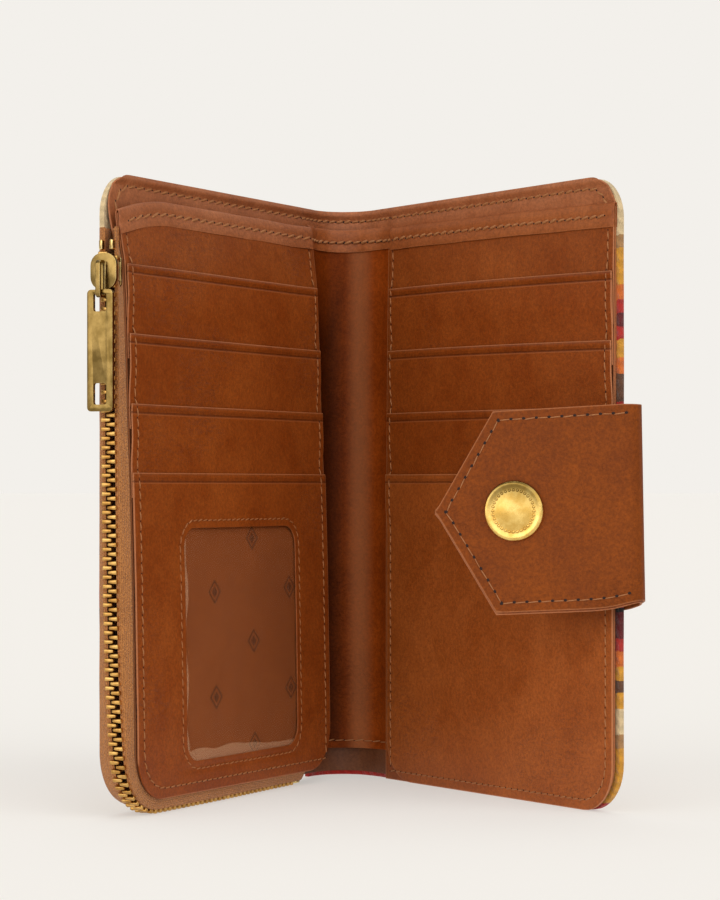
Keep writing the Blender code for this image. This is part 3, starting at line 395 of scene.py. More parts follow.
def painted_shade_under_stack(graph, colour):
    """Painted shade, dark under the zip side's stack and paler towards the back, top and hem, and a pale
    painted sheen streak.
    """
    x, _, z = graph.parts(graph.place())
    painted_light_level = graph.step(x, -0.0115, -0.0005, 0.30, 1.36)
    painted_light_level = graph.math("MAXIMUM", painted_light_level, graph.step(z, 0.112, 0.143, 0.3, 0.95))
    painted_light_level = graph.math("MAXIMUM", painted_light_level, graph.step(z, 0.0090, 0.0098, 0.95, 0.0))
    painted_sheen_streak = graph.step(x, -0.0062, -0.0018, 0.0, 0.30)
    painted_sheen_streak = graph.math("MULTIPLY", painted_sheen_streak, graph.step(x, -0.0010, 0.0028, 1.0, 0.0))
    return graph.blend(painted_sheen_streak, graph.blend(1.0, colour, painted_light_level, "MULTIPLY"), tone(176, 122, 84))


def painted_shade_in_fold(graph, colour):
    """The spine's own lining has the covers' paler painted-sheen tone at its rim, and painted shade darkens
    it down in the fold.
    """
    fold_shade = graph.step(graph.parts(graph.place())[2], 0.050, 0.135, 0.42, 1.0)
    return graph.blend(1.0, colour, fold_shade, "MULTIPLY")


# The linings, the front band and the spine lining take paler tones, a painted glancing sheen.
PAINTED_SHEEN_TONES = (tone(150, 84, 46), tone(176, 108, 68))
CREASE_DOWN = 0.0021
saddle_plain = leather("saddle_leather_plain", tone(128, 58, 12), tone(152, 78, 26))
saddle_creased = leather("saddle_leather_creased", tone(126, 54, 8), tone(150, 74, 20), CREASE_DOWN)
# The lowest back tier has a lighter copy of the creased leather: painted light on its broad low panel.
saddle_broad_lit = leather("saddle_leather_broad_lit", tone(142, 68, 18), tone(166, 88, 34), CREASE_DOWN)
saddle_painted_sheen = leather("saddle_leather_painted_sheen", *PAINTED_SHEEN_TONES, wax_and_highlight=0.3)
# The bands' leather has a paler tone, part of it a painted sheen.
saddle_hem = leather("saddle_leather_hem", tone(142, 74, 32), tone(168, 96, 50), wax_and_highlight=0.3)
saddle_dark = leather(
    "saddle_leather_shaded", tone(106, 42, 6), tone(134, 60, 14), wax_and_highlight=0.4, gloss=0.05, shade=painted_shade_under_stack
)
saddle_fold = leather("saddle_leather_fold", *PAINTED_SHEEN_TONES, wax_and_highlight=0.3, shade=painted_shade_in_fold)

# The card stack on the zip side leans back towards its top. Depths are of the card base's face.
FRONT_PLANE = (
    (0, 8.1), (22, 7.9), (55, 7.3), (80, 6.6), (95, 5.9), (112, 5.35), (122, 4.95), (132, 4.4),
    (142, 3.3), (152, 2.4),
)
BACK_PLANE = ((0, 0.85), (60, 0.85), (112, 0.45), (125, 0.25), (152, -0.2))


def held(u, z, low):
    """How firmly the seams hold a layer: 1 at the sewn edges, 0 where it lies free."""
    near = min(abs(u - 10), abs(FREE_EDGE - u))
    if low is not None:
        near = min(near, z - low)
    return ease(1 - near / 11.0)


def ripple(u, z, seed, size=0.12, scale=0.045):
    return size * noise.noise(Vector((u * scale, z * scale, seed)))


def stack(plane):
    """Makes the layers of one card stack. Each lies so far behind the face of the card base."""
    def layer(behind_mid, behind_edge, seed, low=None):
        def depth(u, z):
            hold = held(u, z, low)
            behind = behind_mid + (behind_edge - behind_mid) * hold
            return along_table(plane, z) - behind + ripple(u, z, seed) * (1 - hold)
        return depth
    return layer


front_layer, back_layer = stack(FRONT_PLANE), stack(BACK_PLANE)


def rolled_rim(z):
    """Swell of the rolled top edge between its seam and its rim, with the seam drawn in."""
    if z <= ROLL_START:
        return 0.0
    gap = LINING_TOP - z
    return 0.60 * math.exp(-(((gap - 1.05) / 0.8) ** 2)) - 0.30 * math.exp(-(((gap - 2.7) / 0.6) ** 2))


def front_lining_depth(u, z):
    plane = front_layer(2.0, 0.95, 1.0)(u, z)
    up = ease((z - 126) / 23.0)
    rise = ease((u - 3.8) / 9.0)
    return (-0.20 + (plane + 0.20) * (1 - up) * rise) + rolled_rim(z) + ripple(u, z, 3.0, 0.15)


def back_lining_depth(u, z):
    plane = back_layer(1.05, 0.95, 2.0)(u, z)
    up = ease((z - 141.5) / 8.5)
    return plane + (-0.15 - plane) * up + rolled_rim(z)


def path_sheet(name, path, low, high, thick, mat, top_rows=()):
    """An upright sheet along path(z), a list of plan points. Its face is on the first point's left."""
    rows = []
    for z in sorted(set(spread(low, high, 4.0)) | set(top_rows)):
        run, row, last = 0.0, [], None
        for x, y in path(z):
            run += math.dist((x, y), last) if last else 0.0
            last = (x, y)
            row.append(((x * MM, y * MM, z * MM), (run, z), (FAR, min(high - z, z - low + 0.5))))
        rows.append(row)
    return grid_sheet(name, rows, mat, thick, 0.12)


def part_at(piece, x, keep_left):
    """Cuts a sheet square through at a plan x, so that its two halves butt with no rounded edge."""
    take(piece)
    bpy.ops.object.mode_set(mode="EDIT")
    bpy.ops.mesh.select_all(action="SELECT")
    bpy.ops.mesh.bisect(
        plane_co=(x * MM, 0, 0), plane_no=(1, 0, 0), use_fill=True,
        clear_outer=keep_left, clear_inner=not keep_left,
    )
    bpy.ops.object.mode_set(mode="OBJECT")
    bpy.ops.object.shade_smooth_by_angle(angle=math.radians(50))
    return piece


def smooth_path(points, count):
    """An even curve through these plan points, with count steps from each one to the next."""
    curve = []
    for k in range(len(points) - 1):
        before, a, b = points[max(k - 1, 0)], points[k], points[k + 1]
        after = points[min(k + 2, len(points) - 1)]
        for step in range(count):
            t = step / count
            curve.append(tuple(
                0.5 * (
                    2 * a[i] + (b[i] - before[i]) * t
                    + (2 * before[i] - 5 * a[i] + 4 * b[i] - after[i]) * t * t
                    + (3 * a[i] - before[i] - 3 * b[i] + after[i]) * t**3
                )
                for i in (0, 1)
            ))
    return curve + [tuple(points[-1])]


def sideways(curve):
    """Each point of a plan curve, with the direction from it towards the opening."""
    for k, (x, y) in enumerate(curve):
        a, b = curve[max(k - 1, 0)], curve[min(k + 1, len(curve) - 1)]
        length = math.dist(a, b)
        yield x, y, (b[1] - a[1]) / length, (b[0] - a[0]) / length


def beside(curve, lift):
    """The same plan curve, moved over towards the opening."""
    return [(x + side_x * lift, y - side_y * lift) for x, y, side_x, side_y in sideways(curve)]


def plan(place, u, n):
    spot = place(u, n, 0) / MM
    return (spot.x, spot.y)


def in_plan(x, y):
    return Vector((x, y, 0)) * MM


# The lining across the spine, one sheet on the real wallet, is cut here into two halves at the middle
# of the spine.
LINING_MIDDLE = -6.03
ARC_LEFT = [(-13.3, 47.25), (-11.47, 49.33), (-9.41, 50.66), (LINING_MIDDLE, 51.39)]
ARC_RIGHT = [(LINING_MIDDLE, 51.39), (-2.56, 50.63), (-0.35, 49.32), (1.66, 47.37)]


def lining_path_left(z):
    end = -0.2 + ripple(9.0, z, 3.0, 0.15)
    knots = [plan(on_front, 9.6, end), plan(on_front, 4.2, end), *ARC_LEFT, ARC_RIGHT[1]]
    return beside(smooth_path(knots, 5), rolled_rim(z))


def lining_path_right(z):
    rim = rolled_rim(z)
    end = max(back_lining_depth(9.6, z) - rim, -0.82)
    knots = [ARC_LEFT[-2], *ARC_RIGHT, plan(on_back, 4.2, end * 0.75), plan(on_back, 9.6, end)]
    return beside(smooth_path(knots, 5), rim)


def spine_half(name, path, middle, keep_left, low, high, thick, mat, top_rows=()):
    """One half of a sheet across the spine, cut square at the spine's middle."""
    return part_at(path_sheet(name, path, low, high, thick, mat, top_rows), middle, keep_left)


RIM_ROWS = tuple(147 + 0.4 * k for k in range(14))
LINING_ENDS = (plan(on_front, 8.5, -0.2)[0], plan(on_back, 8.5, -0.2)[0])
spine_cut = (1.1, LINING_TOP, LINING_THICK, saddle_fold, RIM_ROWS)
spine_lining_a = spine_half("spine_lining_leather_a", lining_path_left, LINING_MIDDLE, True, *spine_cut)
spine_lining_b = spine_half("spine_lining_leather_b", lining_path_right, LINING_MIDDLE, False, *spine_cut)
spine_lining_a = part_at(spine_lining_a, LINING_ENDS[0], False)
spine_lining_b = part_at(spine_lining_b, LINING_ENDS[1], True)
FRONT_BEND = (on_front(5.5, 0, 0), in_plan(-12.6, 48.4))
BACK_BEND = (in_plan(0.9, 48.4), on_back(5.5, 0, 0))
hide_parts("spine_lining")
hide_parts("spine_lining")
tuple(FRONT_BEND[0])
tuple(FRONT_BEND[1])
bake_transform(spine_lining_a)
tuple(BACK_BEND[0])
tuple(BACK_BEND[1])
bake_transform(spine_lining_b)
cover_cut = (5.0, FREE_EDGE)
front_lining = cut_panel(
    "front_lining_leather", on_front, *cover_cut, FRONT_FOOT, LINING_TOP, front_lining_depth,
    LINING_THICK, saddle_painted_sheen, (12, 12, 9, 0),
)
back_lining = cut_panel(
    "back_lining_leather", on_back, *cover_cut, BACK_FOOT, LINING_TOP, back_lining_depth,
    LINING_THICK, saddle_painted_sheen, (0, 12, 9, 0),
)
front_lining = part_at(front_lining, LINING_ENDS[0], True)
back_lining = part_at(back_lining, LINING_ENDS[1], False)
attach(front_lining, "front_cover")
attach(back_lining, "back_cover")
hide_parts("front_lining")
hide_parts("back_lining")

# Note divider
# A leather sheet that parts the note pocket in two. It is sewn into both card stacks and hangs as a
# valley across the spine. A strip is folded over its top edge and stitched through.
DIVIDER_TOP, BAND_TOP, BAND_LEG, SPINE_BAND_LEG = 146.2, 146.9, 5.7, 6.05
FRONT_BAND_HALF, BACK_BAND_HALF, SPINE_BAND_HALF = 0.74, 0.70, 0.6
SEWN_CORNERS = (11, 11, 0, 0)
VALLEY_MIDDLE = -5.86


def droop(u, z):
    """The divider is drawn down where it meets the zip side's edge."""
    return -3.6 * max((u - 82) / 22, 0) ** 1.6 * ease((z - 129) / 13)


def small_droop(u, z):
    return -1.25 * max((u - 20) / 84, 0) ** 1.5 * ease((z - 86) / 24)


def sagged(place, sag):
    """The same cover, with each point moved up by sag(u, z), which is under 0."""
    return lambda u, n, z: place(u, n, z + sag(u, z))


front_low, back_low = sagged(on_front, droop), sagged(on_back, small_droop)
front_divider = cut_panel(
    "front_divider_leather", front_low, 8.0, FREE_EDGE, FRONT_FOOT, DIVIDER_TOP,
    front_layer(1.25, 0.5, 4.0), 0.38, saddle_plain, SEWN_CORNERS,
)
back_divider = cut_panel(
    "back_divider_leather", back_low, 8.0, FREE_EDGE, BACK_FOOT, DIVIDER_TOP,
    back_layer(0.62, 0.48, 5.0), 0.36, saddle_plain, (0, 11, 0, 0),
)
for piece, body, node in (
    (front_divider, "front_cover", "front_divider"), (back_divider, "back_cover", "back_divider")
):
    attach(piece, body)
    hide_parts(node)


def valley(z):
    """Plan points of the divider across the spine, from the front stack to the back one."""
    front_n, back_n = along_table(FRONT_PLANE, z) - 0.7, along_table(BACK_PLANE, z) - 0.66
    return [
        plan(on_front, 10.5, front_n), plan(on_front, 7.6, front_n - 0.3),
        plan(on_front, 4.6, front_n * 0.55), (-11.9, 45.9), (-10.3, 47.4), (-8.2, 48.1),
        (VALLEY_MIDDLE, 48.34), (-3.5, 48.1), (-1.4, 47.45), (0.4, 46.4),
        plan(on_back, 4.6, back_n * 0.5), plan(on_back, 7.6, back_n), plan(on_back, 10.5, back_n),
    ]


def valley_left(z):
    return smooth_path(valley(z)[:8], 4)


def valley_right(z):
    return smooth_path(valley(z)[5:], 4)


divider_cut = (7.5, 146.0, 0.36, saddle_dark)
spine_divider_a = spine_half("spine_divider_leather_a", valley_left, VALLEY_MIDDLE, True, *divider_cut)
spine_divider_b = spine_half("spine_divider_leather_b", valley_right, VALLEY_MIDDLE, False, *divider_cut)
for piece in (spine_divider_a, spine_divider_b):
    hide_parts("spine_divider")
DIVIDER_FRONT_BEND = (on_front(8.0, 5.0, 0), in_plan(-10.6, 47.0))
DIVIDER_BACK_BEND = (in_plan(-1.0, 47.2), on_back(8.0, 0.4, 0))


def folded_over(name, walk, mat, leg, half):
    """A strip folded over a top edge. walk gives the place of (across, z) and the run, step by step."""
    section = [(half * share, dz) for share, dz in (
        (0.92, -leg), (0.95, 0.8 - leg), (1, 1.6 - leg), (0.72, 2.45 - leg), (0.70, 2.8 - leg),
        (1.05, 3.6 - leg), (1.12, -1.4), (1, -0.75), (0.72, -0.27), (0.38, -0.06), (0, 0),
        (-0.38, -0.06), (-0.72, -0.27), (-1, -0.75), (-1, -1.6), (-0.9, 1.0 - leg), (-0.9, -leg),
    )]
    lengths = [0.0]
    for a, b in zip(section, section[1:]):
        lengths.append(lengths[-1] + math.dist(a, b))
    middle = lengths[section.index((0, 0))]
    # The edges map also runs from the fold's crest, so the pale edge line paints a highlight along it.
    rows = [
        [
            (spot(across, BAND_TOP + dz), (run, length), (min(length, abs(length - middle) + 0.12), FAR))
            for (across, dz), length in zip(section, lengths)
        ]
        for spot, run in walk
    ]
    return grid_sheet(name, rows, mat, 0.3, 0.08, (0, 3, 2, 1))


def strip_walk(place, start, end, depth, seed):
    """Steps of a strip along a cover, from the fold edge to the free edge, or back."""
    count = round(abs(end - start) / 1.6)
    for k in range(count + 1):
        u = start + (end - start) * k / count
        wave = 0.16 * noise.noise(Vector((u * 0.07, seed, 0)))
        pinch = 1 - 0.6 * ease((u - 101.4) / 2.4)

        def spot(across, z, u=u, wave=wave, pinch=pinch):
            return place(u, depth(u, min(z, DIVIDER_TOP)) + across * pinch, z + wave)
        yield spot, abs(u - start)


def valley_walk(first, last):
    """Steps of the strip across the spine. It rises to meet the covers' strips at both ends."""
    curve = smooth_path(valley(146)[first:last], 4)
    run = 0.0
    for k, (x, y, side_x, side_y) in enumerate(sideways(curve)):
        run += math.dist(curve[k - 1], curve[k]) if k else 0
        rise = 0.42 + 0.46 * min(((x - VALLEY_MIDDLE) / 9.5) ** 2, 1)

        def spot(across, z, x=x, y=y, side_x=side_x, side_y=side_y, rise=rise):
            return Vector((x + side_x * across, y - side_y * across, z + rise)) * MM
        yield spot, run


front_band_depth, back_band_depth = front_layer(1.15, 0.4, 4.0), back_layer(0.55, 0.42, 5.0)
front_band = folded_over(
    "front_divider_band_leather", strip_walk(front_low, 10.0, 104.4, front_band_depth, 1.0),
    saddle_painted_sheen, BAND_LEG, FRONT_BAND_HALF,
)
back_band = folded_over(
    "back_divider_band_leather", strip_walk(back_low, 104.2, 10.0, back_band_depth, 2.0),
    saddle_hem, BAND_LEG, BACK_BAND_HALF,
)
spine_bands = [
    part_at(folded_over(name, walk, saddle_hem, SPINE_BAND_LEG, SPINE_BAND_HALF), VALLEY_MIDDLE, keep_left)
    for name, walk, keep_left in (
        ("spine_divider_band_leather_a", valley_walk(0, 8), True),
        ("spine_divider_band_leather_b", valley_walk(5, 13), False),
    )
]
spine_band_a, spine_band_b = spine_bands
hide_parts("front_divider_band")
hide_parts("back_divider_band")
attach(front_band, "front_cover")
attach(back_band, "back_cover")
for piece in spine_bands:
    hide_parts("spine_divider_band")
for piece in (spine_divider_a, spine_band_a):
    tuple(DIVIDER_FRONT_BEND[0])
    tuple(DIVIDER_FRONT_BEND[1])
    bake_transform(piece)
for piece in (spine_divider_b, spine_band_b):
    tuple(DIVIDER_BACK_BEND[0])
    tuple(DIVIDER_BACK_BEND[1])
    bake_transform(piece)

# Card pockets
# On each cover a base panel and four shingled tiers of saddle leather are sewn to a thin cloth. Each
# tier's top edge is waxed and has a line creased beside it; the next tier covers its foot.
LEATHER_THICK = 0.38
BASE_TOP, BASE_FOOT, CLOTH_TOP = 141.6, 118.0, 136.0
TIER_TOPS = (130.8, 114.2, 97.6, 81.3)
satin, graph = new_material("pocket_cloth_brown")
weave = graph.flat_map("cut")
threads = graph.add("TexWave", {"Scale": 700, "Distortion": 0.6, "Vector": weave}).outputs["Fac"]
shade = graph.math("MULTIPLY", graph.noise(90, 3, 0.6, weave), 0.8)
shade = graph.math("MULTIPLY_ADD", threads, 0.18, shade)
graph.dress({"Base Color": graph.blend(shade, tone(104, 52, 20), tone(134, 76, 38)), "Roughness": 0.62})
graph.emboss(threads, 0.00005)


def shingled(layer_depth, top, turn, lift):
    """A tier's face: flush at its foot, leaning out over the next one from the turn to its top."""
    def depth(u, z):
        out = ease((z - turn) / (top - 6.3 - turn))
        edge = ease((z - top + 2.6) / 2.2)
        return layer_depth(u, z) + (lift + 0.10 * edge) * out
    return depth


def tier_depth(layer, number, mid, lift):
    """Face of a tier. It is sewn down at its sides, and the lowest one at its foot too."""
    top = TIER_TOPS[number]
    if number == 3:
        return shingled(layer(mid, 0.0, 12.0, BACK_FOOT), top, 65.0, lift)
    return shingled(layer(mid, 0.0, 8.0 + number), top, TIER_TOPS[number + 1] + 0.3, lift)


# Each stack: its middle's depth behind the base's face, and how far a tier's top stands out.
FRONT_STACK, BACK_STACK = (0.35, 0.66), (0.12, 0.58)
for side, place, body, layer, low, (mid, lift) in (
    ("front", front_low, "front_cover", front_layer, FRONT_FOOT, FRONT_STACK),
    ("back", back_low, "back_cover", back_layer, BACK_FOOT, BACK_STACK),
):
    cloth = cut_panel(
        f"{side}_pocket_lining", place, 10, FREE_EDGE, low, CLOTH_TOP,
        layer(mid + 0.46, 0.42, 6.0), 0.12, satin, SEWN_CORNERS, 3.4, 0,
    )
    base = cut_panel(
        f"{side}_card_base_leather", place, 10, FREE_EDGE, BASE_FOOT, BASE_TOP,
        layer(mid, 0.0, 7.0), 0.36, saddle_plain,
    )
    made = [(cloth, f"{side}_pocket_cloth"), (base, f"{side}_card_base")]
    for number, top in enumerate(TIER_TOPS[:3]):
        tier = cut_panel(
            f"{side}_card_tier_{number + 1}_leather", place,
            10 - 0.25 * number, FREE_EDGE + 0.12 * number, TIER_TOPS[number + 1] - 6, top,
            tier_depth(layer, number, mid, lift), LEATHER_THICK, saddle_creased,
        )
        made.append((tier, f"{side}_card_tier_{number + 1}"))
    if side == "back":
        tier = cut_panel(
            "back_card_tier_4_leather", place, 9.2, 104.4, BACK_FOOT, TIER_TOPS[3],
            tier_depth(layer, 3, mid, lift), LEATHER_THICK, saddle_broad_lit, SEWN_CORNERS,
        )
        made.append((tier, "back_card_tier_4"))
    for piece, node in made:
        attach(piece, body)
        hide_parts(node)
        "cloth" if "lining" in piece.name else "leather"

# Identity pocket
# The lowest tier on the zip side is a leather frame with a die-cut opening. A clear vinyl film is
# sewn in behind it, and a brown cloth with a small woven figure lines the pocket.
WINDOW = (26.0, 81.6, 11.2, 67.9)
FRAME = (9.0, 104.4, FRONT_FOOT, TIER_TOPS[3])


def outline(left, right, low, high, radii, per_side, per_corner):
    """Points round a cut shape from its low left corner, with the same count on every side."""
    corners = (
        (left, 1, low, 1, 180), (right, -1, low, 1, 270),
        (right, -1, high, -1, 0), (left, 1, high, -1, 90),
    )
    arcs = []
    for (x, way_x, y, way_y, start), radius in zip(corners, radii):
        cx, cy = x + radius * way_x, y + radius * way_y
        turns = [math.radians(start + 90 * step / per_corner) for step in range(per_corner + 1)]
        arcs.append([(cx + radius * math.cos(turn), cy + radius * math.sin(turn)) for turn in turns])
    points = []
    for arc, after in zip(arcs, arcs[1:] + arcs[:1]):
        (x0, y0), (x1, y1) = arc[-1], after[0]
        points += arc
        for k in range(1, per_side):
            points.append((x0 + (x1 - x0) * k / per_side, y0 + (y1 - y0) * k / per_side))
    return points


def frame_depth(u, z):
    """The frame's face, sewn at its sides and foot and drawn in a little round the window."""
    gap = max(WINDOW[0] - u, u - WINDOW[1], WINDOW[2] - z, z - WINDOW[3])
    tuck = -0.22 * math.exp(-((gap - 1.7) / 0.8) ** 2) - 0.10 * ease(1 - gap / 2.0)
    return front_layer(-0.25, -0.5, 14.0, 3.6)(u, z) + tuck


inner = outline(*WINDOW, (5, 5, 5, 5), 18, 10)
outer = outline(*FRAME, (11, 11, 0.4, 0.4), 18, 10)
rings = []
for share in (0, 0.02, 0.05, 0.09, 0.14, 0.22, 0.34, 0.48, 0.62, 0.74, 0.84, 0.91, 0.96, 0.99, 1):
    ring = []
    for (iu, iz), (ou, oz) in zip(inner, outer):
        u, z = iu + (ou - iu) * share, iz + (oz - iz) * share
        to_edge = min(u - FRAME[0], FRAME[1] - u, z - FRAME[2], math.dist((u, z), (iu, iz)) + 0.25)
        ring.append((front_low(u, frame_depth(u, z), z), (u, z), (to_edge, FRAME[3] - z)))
    rings.append(ring)
id_frame = grid_sheet("id_window_frame_leather", rings, saddle_creased, LEATHER_THICK, 0.14, ring=True)

# The film has a soft pale sheen where it buckles: along its foot and down the side by the zip.
vinyl, graph = new_material("clear_vinyl_film")
swell = graph.noise(60, 2, 0.5, graph.place())
graph.dress({
    "Base Color": tone(250, 240, 226), "Transmission Weight": 1.0, "IOR": 1.35,
    "Roughness": graph.step(swell, 0.3, 0.7, 0.05, 0.14),
})
film = graph.flat_map("cut")
across, up, _ = graph.parts(film)
bend = graph.noise(55, 1, 0.4, film)
foot_line = graph.math("MULTIPLY_ADD", bend, 0.0075, 0.0098)
side_line = graph.math("MULTIPLY_ADD", bend, -0.0062, 0.0830)
at_foot = graph.step(graph.math("SUBTRACT", foot_line, up), 0.0, 0.0004)
at_side = graph.step(graph.math("SUBTRACT", across, side_line), 0.0, 0.0004)
buckled = graph.math("MULTIPLY", graph.math("MAXIMUM", at_foot, at_side), 0.17)
sheen = graph.add("BsdfDiffuse", {"Color": tone(214, 172, 138)})
glazed = graph.add("MixShader", {0: buckled, 1: graph.shader.outputs[0], 2: sheen.outputs[0]})
in_shadow = graph.nodes.new("ShaderNodeLightPath").outputs["Is Shadow Ray"]
clear = graph.add("BsdfTransparent", {})
graph.show(graph.add("MixShader", {0: in_shadow, 1: glazed.outputs[0], 2: clear.outputs[0]}))


def film_depth(u, z):
    foot = math.exp(-(((z - 14.5) / 2.2) ** 2))
    side = math.exp(-(((u - 80.0) / 1.4) ** 2))
    buckle = 0.20 * foot * math.sin(u * 0.42) + 0.10 * side * math.sin(z * 0.5)
    return along_table(FRONT_PLANE, z) - 0.27 + ripple(u, z, 20.0, 0.22, 0.09) + buckle * 0.6


id_film = cut_panel(
    "id_window_film", on_front, 24.6, 83.0, 9.8, 69.3, film_depth, 0.14, vinyl, (5, 5, 5, 5), 1.5, 0
)

# The pocket's lining has plain stepped lozenges in columns, each column half a repeat off the last.
COLUMN, REPEAT, WOVEN_STEP = 0.019, 0.026, 0.42
figured, graph = new_material("pocket_cloth_figured")
weave = graph.flat_map("cut")
parts = graph.parts(weave)
column = graph.math("FLOOR", graph.math("DIVIDE", parts[0], COLUMN))
stagger = graph.math("MULTIPLY", graph.math("MODULO", column, 2.0), 0.5)
offsets = []
for part, size, shift in ((parts[0], COLUMN, 0.0), (parts[1], REPEAT, stagger)):
    cell = graph.math("ADD", graph.math("DIVIDE", part, size), shift)
    off = graph.math("ABSOLUTE", graph.math("SUBTRACT", graph.math("FRACT", cell), 0.5))
    offsets.append(graph.math("SNAP", graph.math("MULTIPLY", off, size * 1000), WOVEN_STEP))
lozenge = graph.math("ADD", *offsets)
band_in, band_out = graph.math("GREATER_THAN", lozenge, 1.7), graph.math("LESS_THAN", lozenge, 2.9)
core = graph.math("LESS_THAN", lozenge, 0.9)
figure = graph.math("MAXIMUM", graph.math("MULTIPLY", band_out, band_in), core)
threads = graph.add("TexWave", {"Scale": 620, "Vector": weave}, bands_direction="DIAGONAL").outputs["Fac"]
shade = graph.math("MULTIPLY", graph.noise(70, 3, 0.6, weave), 0.8)
shade = graph.math("MULTIPLY_ADD", threads, 0.2, shade)
ground = graph.blend(shade, tone(116, 60, 22), tone(138, 76, 32))
figure = graph.math("MULTIPLY", figure, 0.8)
graph.dress({"Base Color": graph.blend(figure, ground, tone(58, 28, 14)), "Roughness": 0.6})
id_lining = cut_panel(
    "id_pocket_lining_cloth", on_front, 10, FREE_EDGE, FRONT_FOOT, 75.0,
    front_layer(0.62, 0.06, 21.0), 0.18, figured, SEWN_CORNERS, 2.4, 0,
)
for piece, node, slot_name, size in (
    (id_frame, "id_window_pocket", "leather", (0.0954, 0.0777)),
    (id_film, "id_window", "clear", (0.0584, 0.0595)),
    (id_lining, "id_pocket_lining", "cloth", (0.094, 0.0714)),
):
    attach(piece, "front_cover")
    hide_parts(node)

# Cloth shell
# A heavy jacquard wool, in stepped bands and plain lozenges, goes round the outside from the zip to
# the tab. It is one cloth on the real wallet, and is parted here at the folds and the spine's middle.
CREAM, TAN, MUSTARD = tone(214, 188, 144), tone(168, 124, 76), tone(206, 144, 40)
ORANGE, RED, MAROON = tone(206, 104, 34), tone(172, 36, 28), tone(96, 20, 24)
BLACK, UMBER = tone(28, 20, 22), tone(98, 62, 40)
# Each band: the height in mm that it starts from, and its colour.
BANDS = (
    (0, RED), (1.8, MUSTARD), (15.2, TAN), (18.7, CREAM), (24.7, MUSTARD), (28.3, UMBER), (31.4, MUSTARD),
    (34.8, ORANGE), (38.6, RED), (41.4, MAROON), (47.6, BLACK), (48.8, RED), (54, ORANGE), (59, MUSTARD),
    (65, CREAM), (85, MUSTARD), (91, ORANGE), (96, RED), (98, UMBER), (104.6, ORANGE), (108.4, MUSTARD),
    (113, RED), (116, MAROON), (119, RED), (122.5, ORANGE), (126, MUSTARD), (134.5, TAN), (138, CREAM),
)
BAND_REACH, LOZENGE_PERIOD = 160, 104.0
# Each row of lozenges: the middle of one along the cloth and in height, and its reach, in mm.
LOZENGES = ((48.0, 0.0, 12.0), (48.0, 75.0, 30.0), (-4.0, 75.0, 17.0))
LOZENGE_RINGS = ((0.0, MUSTARD), (0.17, RED), (0.42, MAROON), (0.58, ORANGE), (0.76, CREAM), (0.86, BLACK))


def stripes(graph, along, stops):
    """Flat colours one after another, each from its own share of the way on."""
    ramp = graph.add("ValToRGB", {0: along})
    ramp.color_ramp.interpolation = "CONSTANT"
    elements = ramp.color_ramp.elements
    # A new ramp has two colours already.
    for k, (share, colour) in enumerate(stops):
        element = elements[k] if k < 2 else elements.new(share)
        element.position, element.color = share, colour
    return ramp.outputs[0]


wool, graph = new_material("banded_wool")
cloth = graph.flat_map("cut")
parts = graph.parts(cloth)
drift = graph.math("SUBTRACT", graph.noise(700, 2, 0.6, cloth), 0.5)
height_z = graph.math("ADD", parts[1], graph.math("MULTIPLY", drift, 0.0016))
band_stops = [(low_edge / BAND_REACH, colour) for low_edge, colour in BANDS]
banded = stripes(graph, graph.math("DIVIDE", height_z, BAND_REACH * MM), band_stops)
for centre_s, centre_z, reach in LOZENGES:
    near_s = graph.math("ADD", parts[0], (LOZENGE_PERIOD * 4.5 - centre_s) * MM)
    near_s = graph.math("FRACT", graph.math("DIVIDE", near_s, LOZENGE_PERIOD * MM))
    near_s = graph.math("SUBTRACT", graph.math("MULTIPLY", near_s, LOZENGE_PERIOD), LOZENGE_PERIOD / 2)
    near_z = graph.math("SUBTRACT", graph.math("MULTIPLY", height_z, 1000), centre_z)
    steps_s = graph.math("SNAP", graph.math("ABSOLUTE", near_s), 2.6)
    steps_z = graph.math("SNAP", graph.math("ABSOLUTE", near_z), 2.2)
    span = graph.math("ADD", steps_s, steps_z)
    figure = stripes(graph, graph.math("DIVIDE", span, reach), LOZENGE_RINGS)
    banded = graph.blend(graph.math("LESS_THAN", span, reach), banded, figure)
twill_shape = {"Scale": 210, "Distortion": 2.2, "Detail": 2, "Detail Scale": 3, "Vector": cloth}
twill = graph.add("TexWave", twill_shape, bands_direction="DIAGONAL").outputs["Fac"]
where = graph.place()
fuzz = graph.noise(1500, 4, 0.75, where, 1.2)
shade = graph.math("MULTIPLY_ADD", fuzz, 0.55, 0.46)
shade = graph.math("MULTIPLY_ADD", twill, 0.22, shade)
shade = graph.math("MULTIPLY_ADD", graph.noise(260, 3, 0.6, where), 0.22, shade)
grey = graph.add("CombineColor", {0: shade, 1: shade, 2: shade}).outputs[0]
graph.dress({
    "Base Color": graph.blend(1.0, banded, grey, "MULTIPLY"),
    "Roughness": 0.92, "Specular IOR Level": 0.2, "Sheen Weight": 0.25,
})
graph.emboss(graph.math("MULTIPLY_ADD", fuzz, 1.6, twill), 0.00028, 0.8)


def shift_cut(piece, way, offset):
    """Moves the cloth's pattern so that it runs on over the spine: 0 is the spine's middle."""
    layer = piece.data.uv_layers["cut"].data
    for loop in layer:
        loop.uv = (way * loop.uv[0] + offset * MM, loop.uv[1])


def punch(piece, place, radius, low, high):
    """The round hole for the stud's post through one layer, cut with a die."""
    u, z = STUD
    axis = place(u, 1, z) - place(u, 0, z)
    bpy.ops.object.select_all(action="DESELECT")
    bpy.ops.mesh.primitive_cylinder_add(
        vertices=40, radius=radius * MM, depth=(high - low) * MM, location=place(u, (low + high) / 2, z),
        rotation=axis.to_track_quat("Z", "Y").to_euler(),
    )
    die = bpy.context.object
    hole = piece.modifiers.new("hole", "BOOLEAN")
    hole.operation = "DIFFERENCE"
    hole.solver = "EXACT"
    hole.object = die
    take(piece)
    bpy.ops.object.modifier_apply(modifier="hole")
    bpy.data.objects.remove(die, do_unlink=True)


def wool_depth(seed):
    return lambda u, z: -0.9 + ripple(u, z, seed, 0.10, 0.09)


